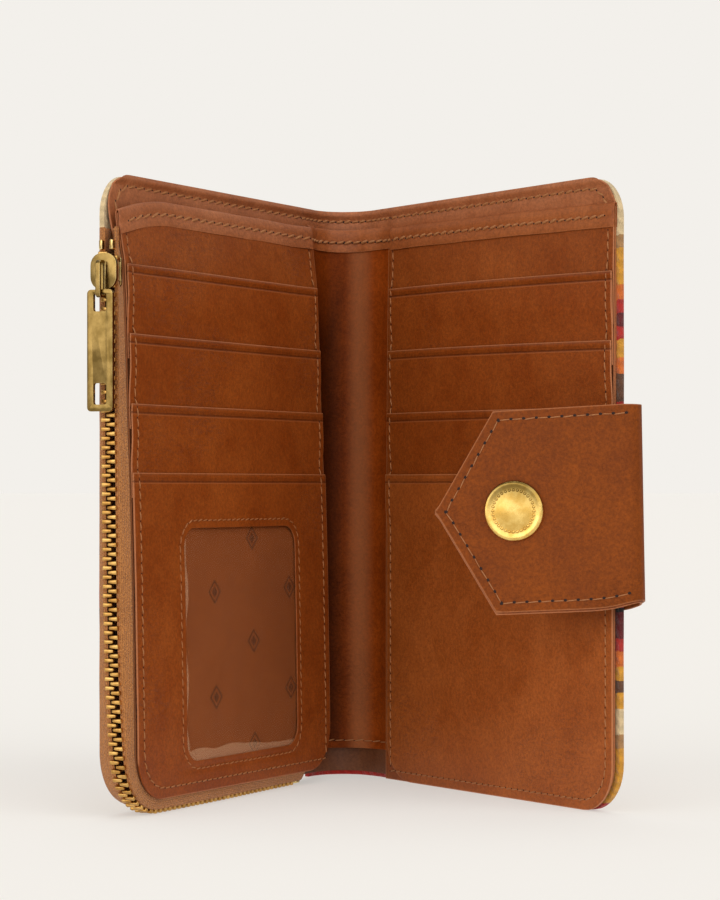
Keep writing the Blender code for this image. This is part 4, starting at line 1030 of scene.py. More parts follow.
WOOL_TOP, WOOL_THICK = 152.2, 1.3
STUD = (91.0, 72.75)
front_wool = cut_panel(
    "front_cover_wool_cloth", on_front, 3.4, 104.8, FRONT_FOOT, WOOL_TOP,
    wool_depth(30.0), WOOL_THICK, wool, (12, 12, 10, 0), 2.0, 0.5,
)
back_wool = cut_panel(
    "back_cover_wool_cloth", on_back, 3.4, 105.2, BACK_FOOT, WOOL_TOP,
    wool_depth(31.0), WOOL_THICK, wool, (0, 12, 10, 0), 2.0, 0.5,
)
shift_cut(front_wool, -1, -9.0)
shift_cut(back_wool, 1, 9.0)
punch(front_wool, on_front, 1.9, -3.0, -0.2)
WOOL_MIDDLE = -6.08
WOOL_LEFT = [
    plan(on_front, 3.6, -0.9), (-13.97, 47.49), (-11.98, 49.72), (-9.74, 51.18), (WOOL_MIDDLE, 51.99)
]
WOOL_RIGHT = [
    (WOOL_MIDDLE, 51.99), (-2.31, 51.2), (-0.2, 49.75), (1.95, 47.55), plan(on_back, 3.6, -0.9)
]


def wool_path_left(z):
    return smooth_path([*WOOL_LEFT, WOOL_RIGHT[1]], 6)


def wool_path_right(z):
    return smooth_path([WOOL_LEFT[-2], *WOOL_RIGHT], 6)


wool_cut = (0.0, WOOL_TOP, WOOL_THICK, wool)
spine_wool_a = spine_half("spine_wool_cloth_a", wool_path_left, WOOL_MIDDLE, True, *wool_cut)
spine_wool_b = spine_half("spine_wool_cloth_b", wool_path_right, WOOL_MIDDLE, False, *wool_cut)
shift_cut(spine_wool_a, 1, -12.6)
shift_cut(spine_wool_b, 1, -3.8)
for piece, body, node, size in (
    (front_wool, "front_cover", "front_cover_wool", (0.1018, 0.1486)),
    (back_wool, "back_cover", "back_cover_wool", (0.1018, 0.1522)),
    (spine_wool_a, None, "spine_wool", (0.0144, 0.1522)),
    (spine_wool_b, None, "spine_wool", (0.0144, 0.1522)),
):
    if body:
        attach(piece, body)
    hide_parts(node)
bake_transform(spine_wool_a)
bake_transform(spine_wool_b)


def coin_inner_depth(u, z):
    return min(4.5, front_lining_depth(u, z) - 0.62)


# The coin pocket between the cloth and the card stack: two plain cloth walls, hemmed to the zip.
POCKET_CORNERS = (6, 6, 0, 0)
coin_outer = cut_panel(
    "coin_pocket_outer_cloth", on_front, 16.0, 97.4, 11.2, 124.0, lambda u, z: -0.30,
    0.28, satin, POCKET_CORNERS, 4, 0,
)
punch(coin_outer, on_front, 4.4, -1.2, 0.4)
coin_inner = cut_panel(
    "coin_pocket_inner_cloth", on_front, 16.0, 99.2, 9.4, 124.0, coin_inner_depth,
    0.26, satin, POCKET_CORNERS, 4, 0,
)
for piece, node in (
    (coin_outer, "coin_pocket_outer_lining"), (coin_inner, "coin_pocket_inner_lining")
):
    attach(piece, "front_cover")
    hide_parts(node)

# Zip
# A brass zip runs down the free edge, round the corner and along the foot: two ribbed tapes, teeth
# clamped over a cord on each, stops at both ends, and a slider with a bail that carries a flat pull.
CHAIN_DRIFT = ((0, 4.7), (12, 4.9), (22, 4.2), (33, 3.5), (52, 3.0), (90, 2.5), (152, 2.4))
CHAIN_U, CHAIN_TOP, CORNER_U, CORNER_Z, CORNER_RADIUS = 107.8, 139.0, 93.0, 15.6, 14.8
EDGE_RUN, TURN_RUN, FOOT_Z = CHAIN_TOP - CORNER_Z, math.pi / 2 * CORNER_RADIUS, 0.8
FOOT_START = EDGE_RUN + TURN_RUN
TAPE_RUN, LAST_TOOTH = FOOT_START + 75.0, FOOT_START + 71.0
FIRST_TOOTH, PITCH = 10.6, 2.17


def chain_spot(s):
    """(u, z) of the chain's line s mm down it, and the direction that faces out of the pocket there."""
    if s <= EDGE_RUN:
        return CHAIN_U, CHAIN_TOP - s, 1.0, 0.0
    if s <= FOOT_START:
        angle = (s - EDGE_RUN) / CORNER_RADIUS
        out_u, out_z = math.cos(angle), -math.sin(angle)
        return CORNER_U + CORNER_RADIUS * out_u, CORNER_Z + CORNER_RADIUS * out_z, out_u, out_z
    return CORNER_U - (s - EDGE_RUN - TURN_RUN), FOOT_Z, 0.0, -1.0


def chain_n(s):
    """Depth of the chain: the full pocket pushes it over towards the foot."""
    if s > FOOT_START:
        return 4.7 - 1.3 * ease((s - EDGE_RUN - TURN_RUN - 20) / 50)
    return along_table(CHAIN_DRIFT, chain_spot(s)[1])


def beside_chain(s, out, n):
    u, z, out_u, out_z = chain_spot(s)
    return on_front(u + out * out_u, n, z + out * out_z)


RIB, PICK, PICK_ACROSS = 0.00052, 0.00104, 0.00040
tape_weave, graph = new_material("zip_tape_twill")
tape = graph.flat_map("cut")
along, across, _ = graph.parts(tape)
ribs = graph.math("SINE", graph.math("MULTIPLY", across, math.tau / RIB))
picks = graph.math("MULTIPLY", along, math.tau / PICK_ACROSS)
picks = graph.math("SINE", graph.math("MULTIPLY_ADD", across, math.tau / PICK, picks))
grain = graph.math("MULTIPLY_ADD", ribs, 0.28, graph.math("MULTIPLY_ADD", picks, 0.16, 0.5))
soil = graph.noise(240, 4, 0.65, tape)
shade = graph.math("MULTIPLY_ADD", soil, 0.5, graph.math("MULTIPLY", grain, 0.55), clamp=True)
knots = graph.step(graph.noise(2300, 2, 0.7, tape), 0.36, 0.62)
shade = graph.math("MULTIPLY_ADD", knots, 0.36, graph.math("MULTIPLY", shade, 0.72))
graph.dress({
    "Base Color": graph.blend(shade, tone(104, 50, 14), tone(212, 140, 72)),
    "Roughness": 0.78, "Specular IOR Level": 0.3, "Sheen Weight": 0.15,
})
graph.emboss(graph.math("MULTIPLY_ADD", knots, 0.8, grain), 0.00018)


def tape_section(way, s):
    """The tape's line from its beaded edge under the teeth, over the shoulder, to its seam."""
    z, middle = chain_spot(s)[1], chain_n(s)
    near, far = middle + way * 1.35, middle + way * 2.45
    stops = [(-0.25, near), (-0.20, middle + way * 1.95), (-0.25, far)]
    if way < 0:
        # The outer tape goes round the cloth's raw edge before it is sewn to the back of it.
        stops += [(-0.62, far - (far + 1.05) * 0.45), (-1.25, -1.05), (-2.0, -0.95), (-2.8, -0.5)]
        stops += [(-3.9, -0.45), (-10.0, -0.45)]
    else:
        # The inner tape climbs the side of the card stack and is sewn in under the lining.
        up = ease((z - 128) / 20.0)
        face = along_table(FRONT_PLANE, max(z, 0)) * (1 - up) + 2.6 * up
        seam, climb = face - 1.75, face - 0.5 - far
        stops += [(-0.6, far + climb * 0.28), (-1.4, far + climb * 0.56), (-2.4, far + climb * 0.86)]
        stops += [(-3.15, face - 0.5), (-3.45, face - 0.85), (-3.75, seam + 0.1), (-4.3, seam), (-8.6, seam)]
    return smooth_path(stops, 3)


runs = [0.0, 0.6] + [2.0 + k * 2.4 for k in range(52)] + [EDGE_RUN + TURN_RUN * k / 16 for k in range(17)]
runs += [FOOT_START + 2.4 * k for k in range(1, 31)]
runs = sorted(s for s in runs if s <= TAPE_RUN)
for side, way in (("outer", -1), ("inner", 1)):
    rows = []
    for s in runs:
        run, row, last = 0.0, [], None
        for out, n in tape_section(way, s):
            run += math.dist((out, n), last) if last else 0
            last = (out, n)
            wave = 0.10 * noise.noise(Vector((s * 0.06, run * 0.3, way))) if run > 1.2 else 0
            row.append((beside_chain(s, out + wave, n), (s, run), (0, 0)))
        rows.append(row)
    turn = (0, 1, 2, 3) if way > 0 else (3, 2, 1, 0)
    tape = grid_sheet(f"zip_tape_{side}_cloth", rows, tape_weave, 0.38, 0.10, turn, flip=True)
    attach(tape, "front_cover")
    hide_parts(f"zip_tape_{side}")


def metal(name, dark, bright, rough, shade=None):
    """Brass or gilt metal: slow tarnish clouds, fine rubbing marks, a clean bright face."""
    mat, graph = new_material(name)
    spot = graph.place()
    cloud, fine = graph.noise(330, 3, 0.6, spot), graph.noise(5200, 2, 0.6, spot)
    colour = graph.blend(graph.step(cloud, 0.3, 0.72), dark, bright)
    if shade:
        colour = shade(graph, colour)
    dulled = graph.math("MULTIPLY_ADD", fine, 0.08, rough - 0.10)
    dulled = graph.math("MULTIPLY_ADD", cloud, 0.16, dulled)
    graph.dress({"Base Color": colour, "Metallic": 1.0, "Roughness": dulled})
    graph.emboss(graph.math("MULTIPLY_ADD", cloud, 1.2, fine), 0.000012, 0.5)
    return mat


tooth_brass = metal("zip_tooth_brass", tone(176, 128, 62), tone(222, 178, 104), 0.30)
slider_brass = metal("slider_gilt_brass", tone(114, 91, 47), tone(152, 125, 73), 0.20)
# A paler brass on the broken corners paints their highlights.
highlight_edge_brass = metal("slider_painted_highlight_edge", tone(222, 186, 112), tone(248, 222, 156), 0.16)


def mould():
    """The points and faces of the shape that was just made, which is then put away."""
    made = bpy.context.object
    points = [v.co.copy() for v in made.data.vertices]
    faces = [tuple(face.vertices) for face in made.data.polygons]
    bpy.data.objects.remove(made, do_unlink=True)
    return points, faces


def scatter(name, shape, frames, mat):
    """One mesh of many copies of a small shape, each set in its own frame."""
    points, faces = shape
    every_point, every_face = [], []
    for matrix in frames:
        start = len(every_point)
        every_point.extend(matrix @ point for point in points)
        every_face.extend(tuple(start + k for k in face) for face in faces)
    mesh = bpy.data.meshes.new(name)
    mesh.from_pydata([tuple(p) for p in every_point], [], every_face)
    piece = new_piece(name, mesh, mat)
    bpy.ops.object.mode_set(mode="EDIT")
    bpy.ops.mesh.select_all(action="SELECT")
    bpy.ops.mesh.normals_make_consistent(inside=False)
    bpy.ops.object.mode_set(mode="OBJECT")
    bpy.ops.object.shade_smooth_by_angle(angle=math.radians(50))
    return piece


def set_in(x, y, z, place):
    """The frame of one copy: its three axes, each as long as the copy is, and its place."""
    frame_axes = Matrix((x, y, z)).transposed().to_4x4()
    frame_axes.translation = place
    return frame_axes


# One tooth: a stamped bar with a rounded head, pinched over the cord. It is copied along both rows.
TOOTH_SIZE, TOOTH_ROUND, TOOTH_PINCH = (0.00108, 0.0024, 0.0015), 0.00022, (0.72, 1, 0.8)
bpy.ops.object.select_all(action="DESELECT")
bpy.ops.mesh.primitive_cube_add(size=1)
tooth = bpy.context.object
tooth.scale = TOOTH_SIZE
bpy.ops.object.transform_apply(location=False, rotation=False, scale=True)
bpy.ops.object.mode_set(mode="EDIT")
bpy.ops.mesh.select_all(action="DESELECT")
bpy.ops.object.mode_set(mode="OBJECT")
for face in tooth.data.polygons:
    face.select = face.normal.y < -0.9
bpy.ops.object.mode_set(mode="EDIT")
bpy.ops.mesh.select_mode(type="FACE")
bpy.ops.transform.resize(value=TOOTH_PINCH)
bpy.ops.mesh.select_all(action="SELECT")
bpy.ops.mesh.bevel(offset=TOOTH_ROUND, segments=2, affect="EDGES")
bpy.ops.object.mode_set(mode="OBJECT")
tooth = mould()

for side, way in (("outer", -1), ("inner", 1)):
    frames = []
    first = FIRST_TOOTH + (PITCH / 2 if way > 0 else 0)
    s = first
    while s < LAST_TOOTH:
        along = (beside_chain(s + 0.05, 0, 0) - beside_chain(s - 0.05, 0, 0)).normalized()
        out = (beside_chain(s, 1, 0) - beside_chain(s, 0, 0)).normalized()
        into = along.cross(out).normalized()
        if into.dot(on_front(0, 1, 0) - on_front(0, 0, 0)) < 0:
            into = -into
        frames.append(set_in(along, into * way, out, beside_chain(s, 0.05, chain_n(s) + way * 0.72)))
        s += PITCH
    # Behind the slider's mouth the rows part and lean away from each other.
    for k in range(1, 4):
        s = FIRST_TOOTH - PITCH * k + (PITCH / 2 if way > 0 else 0)
        if s >= 5.6:
            open_tooth = frames[0].copy()
            open_tooth.translation = beside_chain(s, 0.05, chain_n(s) + way * (0.95 + 0.25 * k))
            frames.append(open_tooth)
    row = scatter(f"zip_teeth_{side}_brass", tooth, frames, tooth_brass)
    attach(row, "front_cover")
    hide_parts(f"zip_teeth_{side}")


def machined(name, node, edge):
    """A metal piece finished from its plain solid: facets merged, corners broken and given a paler brass as
    a painted highlight, faces polished.
    """
    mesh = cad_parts[node].data.copy()
    mesh.materials.clear()
    piece = new_piece(name, mesh, slider_brass, highlight_edge_brass)
    bpy.ops.object.mode_set(mode="EDIT")
    bpy.ops.mesh.select_all(action="SELECT")
    bpy.ops.mesh.remove_doubles(threshold=0.000005)
    bpy.ops.mesh.dissolve_limited(angle_limit=math.radians(1.0))
    bpy.ops.object.mode_set(mode="OBJECT")
    soft = piece.modifiers.new("edge", "BEVEL")
    soft.width = edge * MM
    soft.material = 1
    soft.segments = 2
    soft.limit_method = "ANGLE"
    soft.angle_limit = math.radians(35)
    bpy.ops.object.modifier_apply(modifier="edge")
    bpy.ops.object.shade_smooth_by_angle(angle=math.radians(38))
    return piece


for name, node, body, edge in (
    ("zip_slider_brass", "zip_slider", "zip_slider", 0.12),
    ("zip_pull_brass", "zip_pull", "zip_pull", 0.16),
    ("zip_top_stop_outer_brass", "zip_top_stop_outer", "front_cover", 0.3),
    ("zip_top_stop_inner_brass", "zip_top_stop_inner", "front_cover", 0.3),
    ("zip_bottom_stop_brass", "zip_bottom_stop", "front_cover", 0.35),
):
    piece = machined(name, node, edge)
    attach(piece, body)
    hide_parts(node)

# Snap tab
# A pointed tab of two leather layers, sewn round its edge, comes from the outside of the back cover,
# curls round its free edge and lies over the cards. A brass cap is set through it over a socket.
TAB_Z, TAB_HALF, TAB_REACH, TAB_POINT = 72.75, 24.0, 45.7, 14.4
TAB_SIDE = TAB_REACH - TAB_POINT
CURL_RADIUS = 3.85
CURL_RUN = CURL_RADIUS * math.radians(138.7)
ROOT_RUN = 23.0
# Plan directions: along the back cover, out of its outer face, along the flap, out of its face.
COVER_WAY, COVER_OUT = Vector((0.554844, -0.831954)), Vector((0.831954, 0.554844))
FLAP_WAY, FLAP_OUT = Vector((-0.965926, 0.258819)), Vector((-0.258819, -0.965926))


def tab_line(t, offset, z):
    """Plan point of the tab's face at run t: under 0 on the cover's outside, then curl and flap."""
    lean_out = 0.15 + 0.7 * (TAB_Z - z) / 24.25
    centre = Vector(plan(on_back, 109.0 + lean_out, 0.0))
    radius = CURL_RADIUS + offset
    if t < 0:
        return centre + COVER_OUT * radius + COVER_WAY * t
    angle = math.atan2(COVER_OUT.y, COVER_OUT.x) - min(t, CURL_RUN) / CURL_RADIUS
    on_curl = centre + Vector((math.cos(angle), math.sin(angle))) * radius
    return on_curl + FLAP_WAY * max(t - CURL_RUN, 0)


def foot_tuck(t):
    """The tab's foot is rounded off a little where it turns round the cover."""
    return 1.7 * math.exp(-(((t - CURL_RUN * 0.5) / 6.5) ** 2))


def tab_drop(t):
    """The flap's middle line comes down a little towards its tip."""
    if t <= CURL_RUN:
        return 0.8 * ease((t + 12) / 20)
    return 0.8 - 1.55 * min(t - CURL_RUN, 31) / 31


def tab_layer(name, mat, offset, thick, grow, edge, lower=0.0):
    """One of the tab's two layers; offset is its face's from the tab's, and grow its overhang."""
    straight = TAB_SIDE + grow
    stops = [1.5 * k - ROOT_RUN for k in range(16)] + [CURL_RUN * k / 12 for k in range(13)]
    stops += [CURL_RUN + straight * k / 20 for k in range(1, 21)]
    stops += [CURL_RUN + straight + (TAB_POINT + 0.2) * k / 14 for k in range(1, 15)]
    shares = [0, 0.012, 0.03, 0.06] + [0.1 + 0.8 * k / 24 for k in range(25)] + [0.94, 0.97, 0.988, 1]
    rows = []
    for t in sorted({round(t, 4) for t in stops}):
        past = max(t - CURL_RUN - straight, 0) / (TAB_POINT + 0.2)
        narrow = math.sqrt((1 - past) ** 2 + 0.0004) - 0.012 * past
        half = (TAB_HALF + grow) * min(max(narrow, 0.012), 1)
        row = []
        for share in shares:
            z = TAB_Z + tab_drop(t) - lower + half * (2 * share - 1) + foot_tuck(t) * max(1 - 2 * share, 0)
            swell = 0.05 * noise.noise(Vector((t * 0.11, z * 0.11, 3)))
            x, y = tab_line(t, offset, z) + FLAP_OUT * swell
            side = min(share, 1 - share) * 2 * half * (0.51 if past > 0 else 1)
            row.append((Vector((x, y, z)) * MM, (t, z), (min(side, t + ROOT_RUN), FAR)))
        rows.append(row)
    return grid_sheet(name, rows, mat, thick, edge)


tab_leather = leather("saddle_leather_tab", tone(114, 52, 8), tone(136, 66, 12), wax_and_highlight=0.8, gloss=0.12)
tab_face = tab_layer("tab_leather_outer", tab_leather, 0.0, 0.62, 0.0, 0.2)
tab_back = tab_layer("tab_leather_inner", saddle_plain, -0.72, 0.46, 0.2, 0.12, 0.4)
TAB_BEND = (Vector((62.58, -43.96, TAB_Z)) * MM, Vector((60.48, -46.76, TAB_Z)) * MM)
for piece, nodes_replaced in (
    (tab_face, ("tab_flap_leather", "tab_root_leather")), (tab_back, ("tab_flap_lining", "tab_root_lining"))
):
    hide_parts(*nodes_replaced)
    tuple(TAB_BEND[0])
    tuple(TAB_BEND[1])
    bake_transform(piece)


def darker_upper_half(graph, colour):
    """The gilt is darker over the cap's upper half."""
    dulled = graph.step(graph.parts(graph.place())[2], 0.0705, 0.0788, 1.0, 0.36)
    return graph.blend(1.0, colour, dulled, "MULTIPLY")


cap_gold = metal("snap_cap_gold", tone(214, 170, 84), tone(244, 208, 124), 0.24, darker_upper_half)


def flap_spot(x, out, z):
    """A point of the flap: x from the fold to the tip, out from its face towards the viewer."""
    spot = Vector((60.6563, -46.5207)) + FLAP_WAY * x + FLAP_OUT * out
    return Vector((*spot, z)) * MM


# The cap is a drawn brass disc: a rolled rim, a shallow ring, and a low dome. Each step of its
# profile is a radius and a height in mm.
CAP_START = 6.6
CAP_PROFILE = (
    (7.15, 0.1), (7.25, 0.55), (7.12, 0.98), (6.8, 1.24), (6.35, 1.30), (5.95, 1.20),
    (5.6, 1.14), (5.0, 1.16), (4.2, 1.27), (3.2, 1.42), (2.0, 1.55), (0.9, 1.61),
)
CAP_SIDES = 96
BEADS, BEAD_RING, BEAD_LIFT = 32, 0.0050, 0.00118
BEAD_WIDE, BEAD_HIGH = 0.0008, 0.0007
bpy.ops.object.select_all(action="DESELECT")
bpy.ops.mesh.primitive_circle_add(
    vertices=CAP_SIDES, radius=CAP_START * MM, fill_type="NOTHING", location=(0, 0, 0)
)
snap_cap = bpy.context.object
snap_cap.name = "snap_cap_brass"
bpy.ops.object.mode_set(mode="EDIT")
bpy.ops.mesh.select_all(action="SELECT")
now = CAP_START
for radius, height_mm in CAP_PROFILE:
    bpy.ops.mesh.extrude_edges_move()
    bpy.ops.transform.resize(value=(radius / now, radius / now, 1))
    rim = [v.co.z for v in bmesh.from_edit_mesh(snap_cap.data).verts if v.select]
    bpy.ops.transform.translate(value=(0, 0, height_mm * MM - sum(rim) / CAP_SIDES))
    now = radius
bpy.ops.mesh.edge_face_add()
bpy.ops.mesh.select_all(action="SELECT")
bpy.ops.mesh.normals_make_consistent(inside=False)
bpy.ops.object.mode_set(mode="OBJECT")
bpy.ops.object.shade_smooth_by_angle(angle=math.radians(40))
snap_cap.data.materials.append(cap_gold)
centre = flap_spot(26.4, 0.05, 72.25)
facing_out = (flap_spot(0, 1, 0) - flap_spot(0, 0, 0)).normalized()
snap_cap.matrix_world = Matrix.Translation(centre) @ facing_out.to_track_quat("Z", "Y").to_matrix().to_4x4()
bpy.ops.object.transform_apply(location=True, rotation=True, scale=True)
# A ring of small beads decorates the cap.
bead_frames = []
side_way = -FLAP_WAY.to_3d()
for k in range(BEADS):
    turn = math.tau * k / BEADS
    round_cap = side_way * math.cos(turn) + Vector((0, 0, math.sin(turn)))
    bead_frames.append(set_in(
        side_way * BEAD_WIDE, Vector((0, 0, BEAD_WIDE)), facing_out * BEAD_HIGH,
        centre + round_cap * BEAD_RING + facing_out * BEAD_LIFT,
    ))
bpy.ops.object.select_all(action="DESELECT")
bpy.ops.mesh.primitive_uv_sphere_add(segments=10, ring_count=6, radius=0.5)
cap_beads = scatter("snap_cap_beading", mould(), bead_frames, cap_gold)
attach(cap_beads, "tab")
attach(snap_cap, "tab")
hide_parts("snap_cap")
for name, node, body, edge in (
    ("snap_socket_brass", "snap_socket", "tab", 0.15),
    ("snap_stud_brass", "snap_stud", "front_cover", 0.15),
    ("snap_stud_post_brass", "snap_stud_post", "front_cover", 0.1),
):
    piece = machined(name, node, edge)
    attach(piece, body)
    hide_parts(node)

# Stitching
# Waxed tan thread in a lock stitch. Each visible stitch is a short twisted length that dips into its
# needle hole at both ends, and each seam lies a couple of millimetres inside the edge it holds.
thread, graph = new_material("waxed_tan_thread")
ply = graph.noise(2600, 2, 0.6, graph.place())
graph.dress({"Base Color": graph.blend(ply, tone(126, 70, 30), tone(182, 122, 70)), "Roughness": 0.62})
graph.emboss(ply, 0.00004)
needle, graph = new_material("needle_hole_shadow")
shadow = graph.noise(900, 2, 0.5, graph.place())
graph.dress({"Base Color": graph.blend(shadow, tone(22, 9, 4), tone(44, 18, 8)), "Roughness": 0.9})

# One stitch along X, standing on Z and bent down at both ends, and one needle hole's painted shadow.
bpy.ops.object.select_all(action="DESELECT")
bpy.ops.mesh.primitive_uv_sphere_add(
    segments=8, ring_count=7, radius=0.5, rotation=(0, math.radians(90), 0)
)
bpy.ops.object.transform_apply(location=False, rotation=True, scale=False)
stitch_points, stitch_faces = mould()
stitch = ([Vector((p.x, p.y, p.z - 1.1 * p.x * p.x + 0.10)) for p in stitch_points], stitch_faces)
bpy.ops.mesh.primitive_uv_sphere_add(segments=8, ring_count=4, radius=0.5)
needle_hole = mould()


def seam_spots(line, pitch):
    """Even steps along a line of points on the surface: one needle hole at each."""
    lengths = [0.0]
    for a, b in zip(line, line[1:]):
        lengths.append(lengths[-1] + (b - a).length)
    count = max(1, round(lengths[-1] / pitch))
    spots = []
    k = 0
    for step in range(count + 1):
        run = lengths[-1] * step / count
        while k < len(line) - 2 and lengths[k + 1] < run:
            k += 1
        share = (run - lengths[k]) / max(lengths[k + 1] - lengths[k], 1e-9)
        spots.append(line[k].lerp(line[k + 1], share))
    return spots


seams = {}


def sew(body, line, faces_to, pitch=3.7, twist=16, size=0.70, holes=0.46, share=1.0):
    """Adds a seam to a body's thread. faces_to is the direction that the sewn face looks in.

    pitch and the widths of thread and holes are in mm, and share is a stitch's part of its step.
    """
    spots = seam_spots(line, pitch * MM)
    stitches, pricks = seams.setdefault(body, ([], []))
    for a, b in zip(spots, spots[1:]):
        run = b - a
        uneven = noise.noise(a * 900)
        x = run.normalized()
        z = (faces_to - x * faces_to.dot(x)).normalized()
        x = Matrix.Rotation(math.radians(twist + 9 * uneven), 3, z) @ x
        y = z.cross(x)
        stitches.append(set_in(
            x * run.length * (share + 0.06 * uneven), y * size * (1 + 0.2 * uneven) * MM,
            z * size * 1.05 * MM, (a + b) / 2 + y * 0.05 * uneven * MM,
        ))
    for point, after in zip(spots, spots[1:] + [spots[-2]]):
        x = (after - point).normalized()
        z = (faces_to - x * faces_to.dot(x)).normalized()
        y = z.cross(x)
        pricks.append(set_in(
            x * holes * 1.35 * MM, y * holes * MM, z * 0.12 * MM, point - y * 0.12 * MM + z * 0.02 * MM
        ))


def on_panel(place, depth, points):
    return [place(u, depth(u, z) + 0.03, z) for u, z in points]


def dense(points, step=1.0):
    """The same line in short steps."""
    out = [points[0]]
    for a, b in zip(points, points[1:]):
        count = max(1, round(math.dist(a, b) / step))
        shares = [k / count for k in range(1, count + 1)]
        out += [(a[0] + (b[0] - a[0]) * share, a[1] + (b[1] - a[1]) * share) for share in shares]
    return out


def quarter_turn(centre, radius, low_side, step):
    """Points round a corner, from the free edge's side to the foot's, or to the free edge's."""
    turns = [math.radians(angle) for angle in range(0, 91, step)]
    if low_side:
        return [(centre[0] + radius * math.cos(a), centre[1] - radius * math.sin(a)) for a in turns]
    return [(centre[0] + radius * math.sin(a), centre[1] + radius * math.cos(a)) for a in turns]


def rounded_run(right, low, left, high=140.6, radius=9.0):
    """Down the free edge, round its low corner and along the foot to the fold edge."""
    corner = quarter_turn((right - radius, low + radius), radius, True, 9)
    return dense([(right, high), *corner, (left, low)])


FRONT_IN = (on_front(0, 1, 0) - on_front(0, 0, 0)).normalized()
BACK_IN = (on_back(0, 1, 0) - on_back(0, 0, 0)).normalized()
TO_OPENING = Vector((0.05, -1, 0))
BAND_SEAM = 143.95
# A band's seam lies this share of its half width out from its middle, and then on its face.
BAND_BULGE, BAND_FACE = 0.72, 0.33
# The shell's seam runs along the top of both linings and turns down the free ends. The band's seam
# goes through its folded strip.
shell_seam = [(9.5, TOP_SEAM)] + [(u, TOP_SEAM) for u in range(12, 95, 4)]
shell_seam = dense(shell_seam + quarter_turn((94.6, 143.0), 6.9, False, 10) + [(101.5, 138.6)])
for body, inward, pitch, place, depth, low_place, band_depth, half in (
    (
        "front_cover", FRONT_IN, 3.7, on_front, front_lining_depth,
        front_low, front_band_depth, FRONT_BAND_HALF,
    ),
    (
        "back_cover", BACK_IN, 3.1, on_back, back_lining_depth,
        back_low, back_band_depth, BACK_BAND_HALF,
    ),
):
    sew(body, on_panel(place, depth, shell_seam), inward, pitch)
    band_seam = [(u, band_depth(u, 144.0) + half * BAND_BULGE + BAND_FACE) for u in range(11, 103, 2)]
    sew(body, [low_place(u, n, BAND_SEAM) for u, n in band_seam], inward, pitch)


def valley_line(curve, z, lift):
    """A seam across the spine: the points of a plan curve, lifted off its face towards the opening."""
    return [Vector((x, y, z)) * MM for x, y in beside(curve, lift)]


SPINE_PITCH = 2.2
FOOT_SEAM = (2.6, 8, 0.34, 0.26)
sew("spine_a", valley_line(lining_path_left(TOP_SEAM)[1:-5], TOP_SEAM, 0.05), TO_OPENING, SPINE_PITCH)
sew("spine_b", valley_line(lining_path_right(TOP_SEAM)[5:-1], TOP_SEAM, 0.05), TO_OPENING, SPINE_PITCH)
spine_band_out = SPINE_BAND_HALF * BAND_BULGE + BAND_FACE
for z_at, z, lift, style in ((144, BAND_SEAM, spine_band_out, (SPINE_PITCH,)), (10, 9.6, 0.05, FOOT_SEAM)):
    sew("divider_a", valley_line(smooth_path(valley(z_at)[:7], 4), z, lift), TO_OPENING, *style)
    sew("divider_b", valley_line(smooth_path(valley(z_at)[6:], 4), z, lift), TO_OPENING, *style)


def stack_face(layer, mid, lift, lowest):
    """Depth of whichever layer of a card stack is in front at this height."""
    def depth(u, z):
        if z > TIER_TOPS[0]:
            return layer(mid, 0.0, 7.0)(u, z)
        for number in range(3):
            if z > TIER_TOPS[number + 1]:
                return tier_depth(layer, number, mid, lift)(u, z)
        return lowest(u, z)
    return depth


# Down both sides of the card stacks, round the foot, and round the window.
front_face = stack_face(front_layer, *FRONT_STACK, frame_depth)
back_face = stack_face(back_layer, *BACK_STACK, tier_depth(back_layer, 3, *BACK_STACK))
FINE = (2.45, 9, 0.36, 0.34, 0.86)
for body, place, face, inward, side_run, fold_run in (
    ("front_cover", front_low, front_face, FRONT_IN, (101.8, 6.2, 11.4), [(11.6, 7.4), (11.6, 140.8)]),
    ("back_cover", back_low, back_face, BACK_IN, (102.0, 2.4, 10.8), [(11.0, 3.6), (11.0, 140.8)]),
):
    sew(body, on_panel(place, face, rounded_run(*side_run)), inward, *FINE)
    sew(body, on_panel(place, face, dense(fold_run)), inward, *FINE)
WINDOW_SEAM = 1.9
left, right, low, high = WINDOW
ring = outline(
    left - WINDOW_SEAM, right + WINDOW_SEAM, low - WINDOW_SEAM, high + WINDOW_SEAM, (6.9,) * 4, 30, 12
)
sew("front_cover", on_panel(front_low, frame_depth, ring + ring[:1]), FRONT_IN, 2.3, 11, 0.30, 0.22, 0.86)


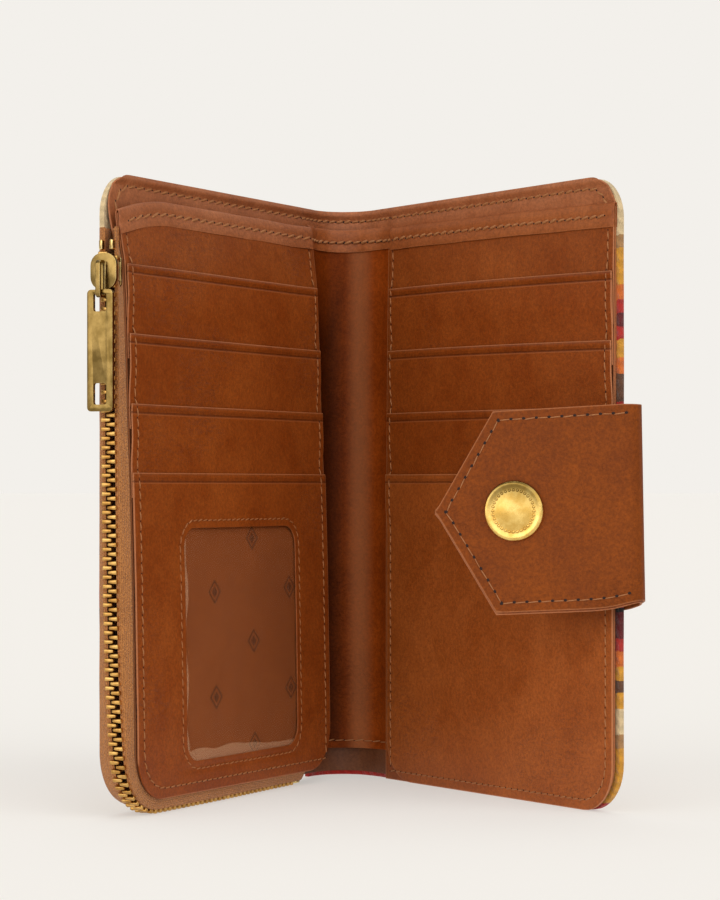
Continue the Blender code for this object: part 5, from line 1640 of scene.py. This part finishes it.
def tab_point(t, share, lift=0.03):
    past = max(t - CURL_RUN - TAB_SIDE, 0) / (TAB_POINT + 0.2)
    z = TAB_Z + tab_drop(t) + TAB_HALF * (1 - past) * share + foot_tuck(t) * max(-share, 0)
    return Vector((*tab_line(t, lift, z), z)) * MM


def tab_run(start, end, share, steps, lift=0.03):
    return [tab_point(start + (end - start) * k / steps, share, lift) for k in range(steps + 1)]


# Round the tab, with the painted shadows of open needle holes between the stitches on its face.
TAB_SEAM_IN, REVERSE = 2.2, -1.2
TAB_STITCH, PLAIN_STITCH = (3.05, 3, 0.30, 0.66, 0.92), (3.05, 3, 0.30, 0.40, 0.92)
edge_share = (TAB_HALF - TAB_SEAM_IN) / TAB_HALF
corner_t, tip_t = CURL_RUN + TAB_SIDE - 1.3, CURL_RUN + TAB_REACH - 2.5
face_out = FLAP_OUT.to_3d()
for share in (edge_share, -edge_share):
    for start, lift, way, style in (
        (-0.8, 0.03, face_out, TAB_STITCH), (1.0, REVERSE, -face_out, PLAIN_STITCH)
    ):
        side_run = tab_run(CURL_RUN + start, corner_t, share, 20, lift)
        tip = tab_point(tip_t, 0, lift)
        sew("tab", side_run, way, *style)
        sew("tab", [side_run[-1].lerp(tip, k / 16) for k in range(17)], way, *style)
    sew("back_cover", tab_run(-21.2, -0.8, share, 14), -BACK_IN, *PLAIN_STITCH)
root_end = [tab_point(-21.2, edge_share * (k / 10 - 1)) for k in range(21)]
sew("back_cover", root_end, -BACK_IN, *PLAIN_STITCH)
BENDS = {
    "spine_a": ("front_cover", "spine", *FRONT_BEND), "spine_b": ("spine", "back_cover", *BACK_BEND),
    "divider_a": ("front_cover", "spine", *DIVIDER_FRONT_BEND),
    "divider_b": ("spine", "back_cover", *DIVIDER_BACK_BEND),
}
for body, (stitch_frames, hole_frames) in seams.items():
    sewn = scatter(f"{body}_thread", stitch, stitch_frames, thread)
    holes = scatter(f"{body}_needle_holes", needle_hole, hole_frames, needle)
    for piece in (sewn, holes):
        if body in BENDS:
            bent_with, bent_to, bend_start, bend_end = BENDS[body]
            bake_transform(piece)
            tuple(bend_start)
            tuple(bend_end)
        else:
            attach(piece, body)
